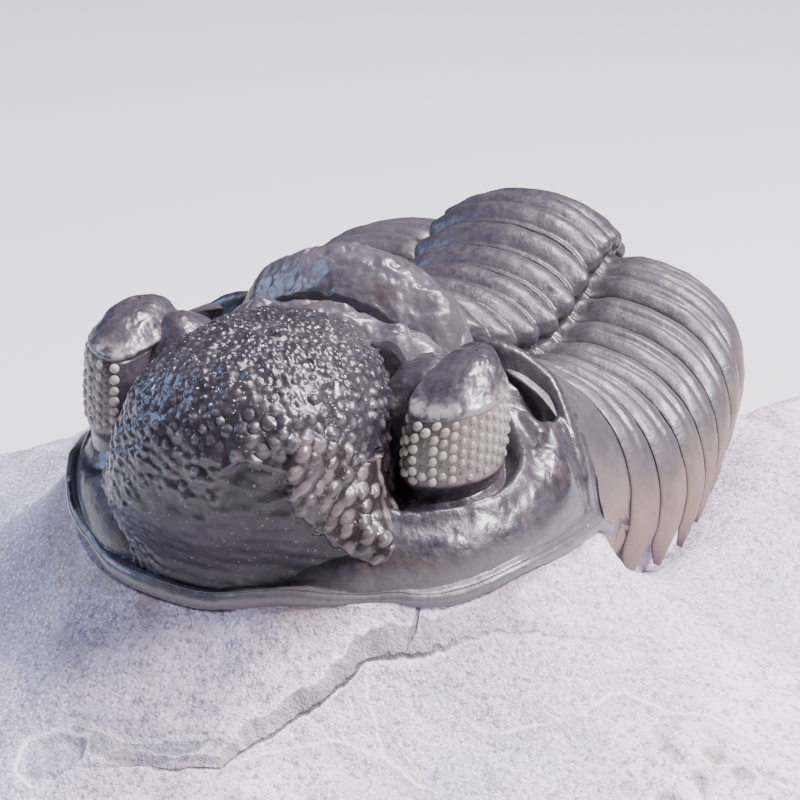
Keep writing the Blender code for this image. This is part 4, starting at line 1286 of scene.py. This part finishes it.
def stone_material():
    """Pale limestone with painted shade, darker and blue on its right side, and its cracks, veins, chip
    and stains.
    """
    nodes = Nodes("limestone")
    speckle = nodes.noise(5200.0, 2.0, 0.7)
    grain = nodes.noise(2700.0, 3.0, 0.7)
    mottle = nodes.noise(560.0, 5.0, 0.65)
    patches = nodes.noise(75.0, 5.0, 0.6)
    blotch = nodes.noise(190.0, 5.0, 0.62)
    sideways = nodes.make("SeparateXYZ", Vector=nodes.place).outputs["X"]
    # Painted shade: the stone turns darker and blue towards its right side.
    painted_blue_shade = nodes.ramp(sideways, 0.004, -0.018, 0.0, 0.6)
    wobble = nodes.times(nodes.math("SUBTRACT", nodes.noise(800.0, 5.0, 0.65), 0.5), 0.7)
    ledge = nodes.plus(nodes.attribute("ledge"), wobble)
    strength = nodes.attribute("ledge_strength")
    # Painted shade: the sloped broken face on the high side of the main crack is darkened.
    face = nodes.times(nodes.ramp(ledge, -1.1, -0.9), nodes.ramp(ledge, 0.04, 0.0))
    # Painted shade: a near-black line along the main crack.
    gap = nodes.ramp(nodes.math("ABSOLUTE", ledge, 0.0), 0.16, 0.05)
    # Painted highlight: a pale strip on the low side just past the main crack.
    brink = nodes.times(nodes.ramp(ledge, 0.05, 0.12), nodes.ramp(ledge, 0.5, 0.25))
    # Painted highlight: a pale line along the upper edge of the broken face.
    crest = nodes.times(nodes.ramp(ledge, -1.4, -1.15), nodes.ramp(ledge, -0.95, -1.1))
    vein = nodes.plus(nodes.attribute("vein"), nodes.times(wobble, 0.3))
    vein_strength = nodes.attribute("vein_strength")
    notched = nodes.attribute("notched")
    line = nodes.times(nodes.ramp(nodes.math("ABSOLUTE", vein, 0.0), 0.13, 0.05), vein_strength)
    # Painted shade: a darker band on one side of each vein.
    beside = nodes.times(nodes.ramp(vein, 0.04, 0.12), nodes.ramp(vein, 0.9, 0.2))
    chip = nodes.plus(nodes.attribute("chip"), nodes.times(wobble, 0.5))
    chip_edge = nodes.times(nodes.ramp(chip, -0.2, -0.02), nodes.ramp(chip, 0.1, 0.0))
    # Colour of the broken face, darkened as painted shade.
    broken = nodes.mix(nodes.ramp(mottle, 0.4, 0.6), (0.24, 0.2, 0.23), (0.42, 0.36, 0.4))
    # The pale marks: these painted highlights, the chip's pale rim and the pale line of each vein.
    light = nodes.larger(nodes.times(brink, strength), chip_edge)
    light = nodes.larger(light, nodes.times(crest, strength))
    light = nodes.larger(light, nodes.times(line, nodes.math("SUBTRACT", 1.0, notched)))
    # Painted shade inside the main crack and the notch.
    dark = nodes.larger(nodes.times(gap, strength), nodes.times(line, notched))
    near = nodes.ramp(nodes.attribute("near"), 0.09, 0.0)
    stain = nodes.times(near, nodes.ramp(blotch, 0.42, 0.6))
    colour = nodes.mix(nodes.ramp(patches, 0.38, 0.62), (0.6, 0.54, 0.74), (0.9, 0.73, 0.88))
    for share, layer in (
        (painted_blue_shade, (0.2, 0.24, 0.4)),
        (nodes.ramp(blotch, 0.56, 0.72, 0.0, 0.5), (0.58, 0.44, 0.4)),
        (nodes.ramp(mottle, 0.3, 0.52, 0.55, 0.0), (0.37, 0.34, 0.45)),
        (nodes.ramp(grain, 0.36, 0.52, 0.8, 0.0), (0.25, 0.22, 0.31)),
        (nodes.ramp(speckle, 0.52, 0.62, 0.0, 0.75), (0.98, 0.92, 1.0)),
        (nodes.times(nodes.attribute("shaded"), 0.7), (0.24, 0.23, 0.29)),
        (nodes.times(nodes.attribute("pitted"), 0.7), (0.27, 0.21, 0.18)),
        (nodes.ramp(chip, 0.0, 0.15, 0.0, 0.4), (0.4, 0.4, 0.48)),
        (nodes.times(nodes.times(face, strength), 0.8), broken),
        (nodes.times(nodes.times(beside, vein_strength), 0.3), (0.3, 0.27, 0.33)),
        (nodes.times(light, 0.75), (0.97, 0.92, 0.96)),
        (nodes.times(dark, 0.85), (0.09, 0.075, 0.09)),
        (nodes.times(stain, 0.6), (0.3, 0.21, 0.16)),
    ):
        colour = nodes.mix(share, colour, layer)
    nodes.set("Roughness", nodes.ramp(grain, 0.3, 0.7, 0.5, 0.78))
    nodes.set("Specular IOR Level", 0.4)
    height = nodes.plus(nodes.times(speckle, 0.7), grain)
    height = nodes.math("SUBTRACT", height, nodes.times(dark, 1.2))
    return nodes.finish(colour, height, 0.8, 0.00016)


# The stage


def floor_material():
    nodes = Nodes("studio_floor")
    nodes.set("Base Color", nodes.mix(nodes.noise(3.0), (0.78, 0.78, 0.79), (0.82, 0.82, 0.83)))
    nodes.set("Roughness", 0.9)
    return nodes.material


def make_stage():
    size = FLOOR_HALF_SIZE
    mesh = bpy.data.meshes.new("floor")
    corners = [(-size, -size, 0.0), (size, -size, 0.0), (size, size, 0.0), (-size, size, 0.0)]
    mesh.from_pydata(corners, [], [(0, 1, 2, 3)])
    floor = bpy.data.objects.new("floor", mesh)
    bpy.context.scene.collection.objects.link(floor)
    mesh.materials.append(floor_material())
    world = bpy.data.worlds.new("studio")
    bpy.context.scene.world = world
    world.use_nodes = True
    background = world.node_tree.nodes["Background"]
    background.inputs["Color"].default_value = AIR_COLOUR
    background.inputs["Strength"].default_value = AIR_STRENGTH


def toward(azimuth, elevation):
    """The direction at a turn from the animal's front towards its left and at a rise, in degrees."""
    turn = math.radians(azimuth)
    rise = math.radians(elevation)
    return Vector((math.sin(turn) * math.cos(rise), -math.cos(turn) * math.cos(rise), math.sin(rise)))


def make_light(name, azimuth, elevation, size, power, colour):
    data = bpy.data.lights.new(name, "AREA")
    data.energy = power
    data.size = size
    data.color = colour
    made = bpy.data.objects.new(name, data)
    bpy.context.scene.collection.objects.link(made)
    back = toward(azimuth, elevation)
    made.location = LIGHT_TARGET + back * LIGHT_DISTANCE
    made.rotation_euler = (-back).to_track_quat("-Z", "Y").to_euler()


def make_camera():
    """The photograph's viewpoint: close, from the front left and a little above."""
    back = toward(CAMERA_TURN, CAMERA_RISE)
    turn = math.radians(CAMERA_TURN)
    right = Vector((math.cos(turn), math.sin(turn), 0.0))
    up = back.cross(right)
    focal = CAMERA_DISTANCE * PIXELS_PER_MM
    off_x = (PHOTO_SIZE / 2.0 - PHOTO_MIDDLE[0]) / focal
    off_y = -(PHOTO_SIZE / 2.0 - PHOTO_MIDDLE[1]) / focal
    across = off_x * math.cos(CAMERA_ROLL) + off_y * math.sin(CAMERA_ROLL)
    upward = -off_x * math.sin(CAMERA_ROLL) + off_y * math.cos(CAMERA_ROLL)
    ahead = (-back + right * across + up * upward).normalized()
    screen_right = right * math.cos(CAMERA_ROLL) + up * math.sin(CAMERA_ROLL)
    screen_right = (screen_right - ahead * screen_right.dot(ahead)).normalized()
    data = bpy.data.cameras.new("camera")
    data.sensor_width = SENSOR_WIDTH
    data.lens = focal / PHOTO_SIZE * SENSOR_WIDTH
    data.clip_start = CLIP_START
    data.clip_end = CLIP_END
    camera = bpy.data.objects.new("camera", data)
    bpy.context.scene.collection.objects.link(camera)
    turned = Matrix((screen_right, screen_right.cross(ahead), -ahead)).transposed()
    place = CAMERA_TARGET + back * CAMERA_DISTANCE - Vector(STONE_ORIGIN.tolist())
    camera.matrix_world = Matrix.Translation(place * MM) @ turned.to_4x4()
    bpy.context.scene.camera = camera


def main():
    eye_shell = eye_material()
    ring_shell = ring_material()
    lens = lens_material()
    body = body_material()
    limestone = stone_material()
    make_cheeks(cheek_material())
    make_lobe(lobe_material())
    make_ring(ring_shell, "neck_ring", NECK_RING, 2.0)
    make_ring(ring_shell, "preoccipital_ring", PREOCCIPITAL_RING, 6.0)
    make_side_lobes(ring_shell)
    for side in SIDES:
        make_eye(eye_shell, side)
        make_lenses(lens, side)
        make_saddle(eye_shell, side)
    for number in range(PLATE_COUNT):
        make_plate(body, number)
    make_tail(body)
    make_stone(limestone)
    make_core(limestone)
    make_stage()
    for light in LIGHTS:
        make_light(*light)
    make_camera()


main()
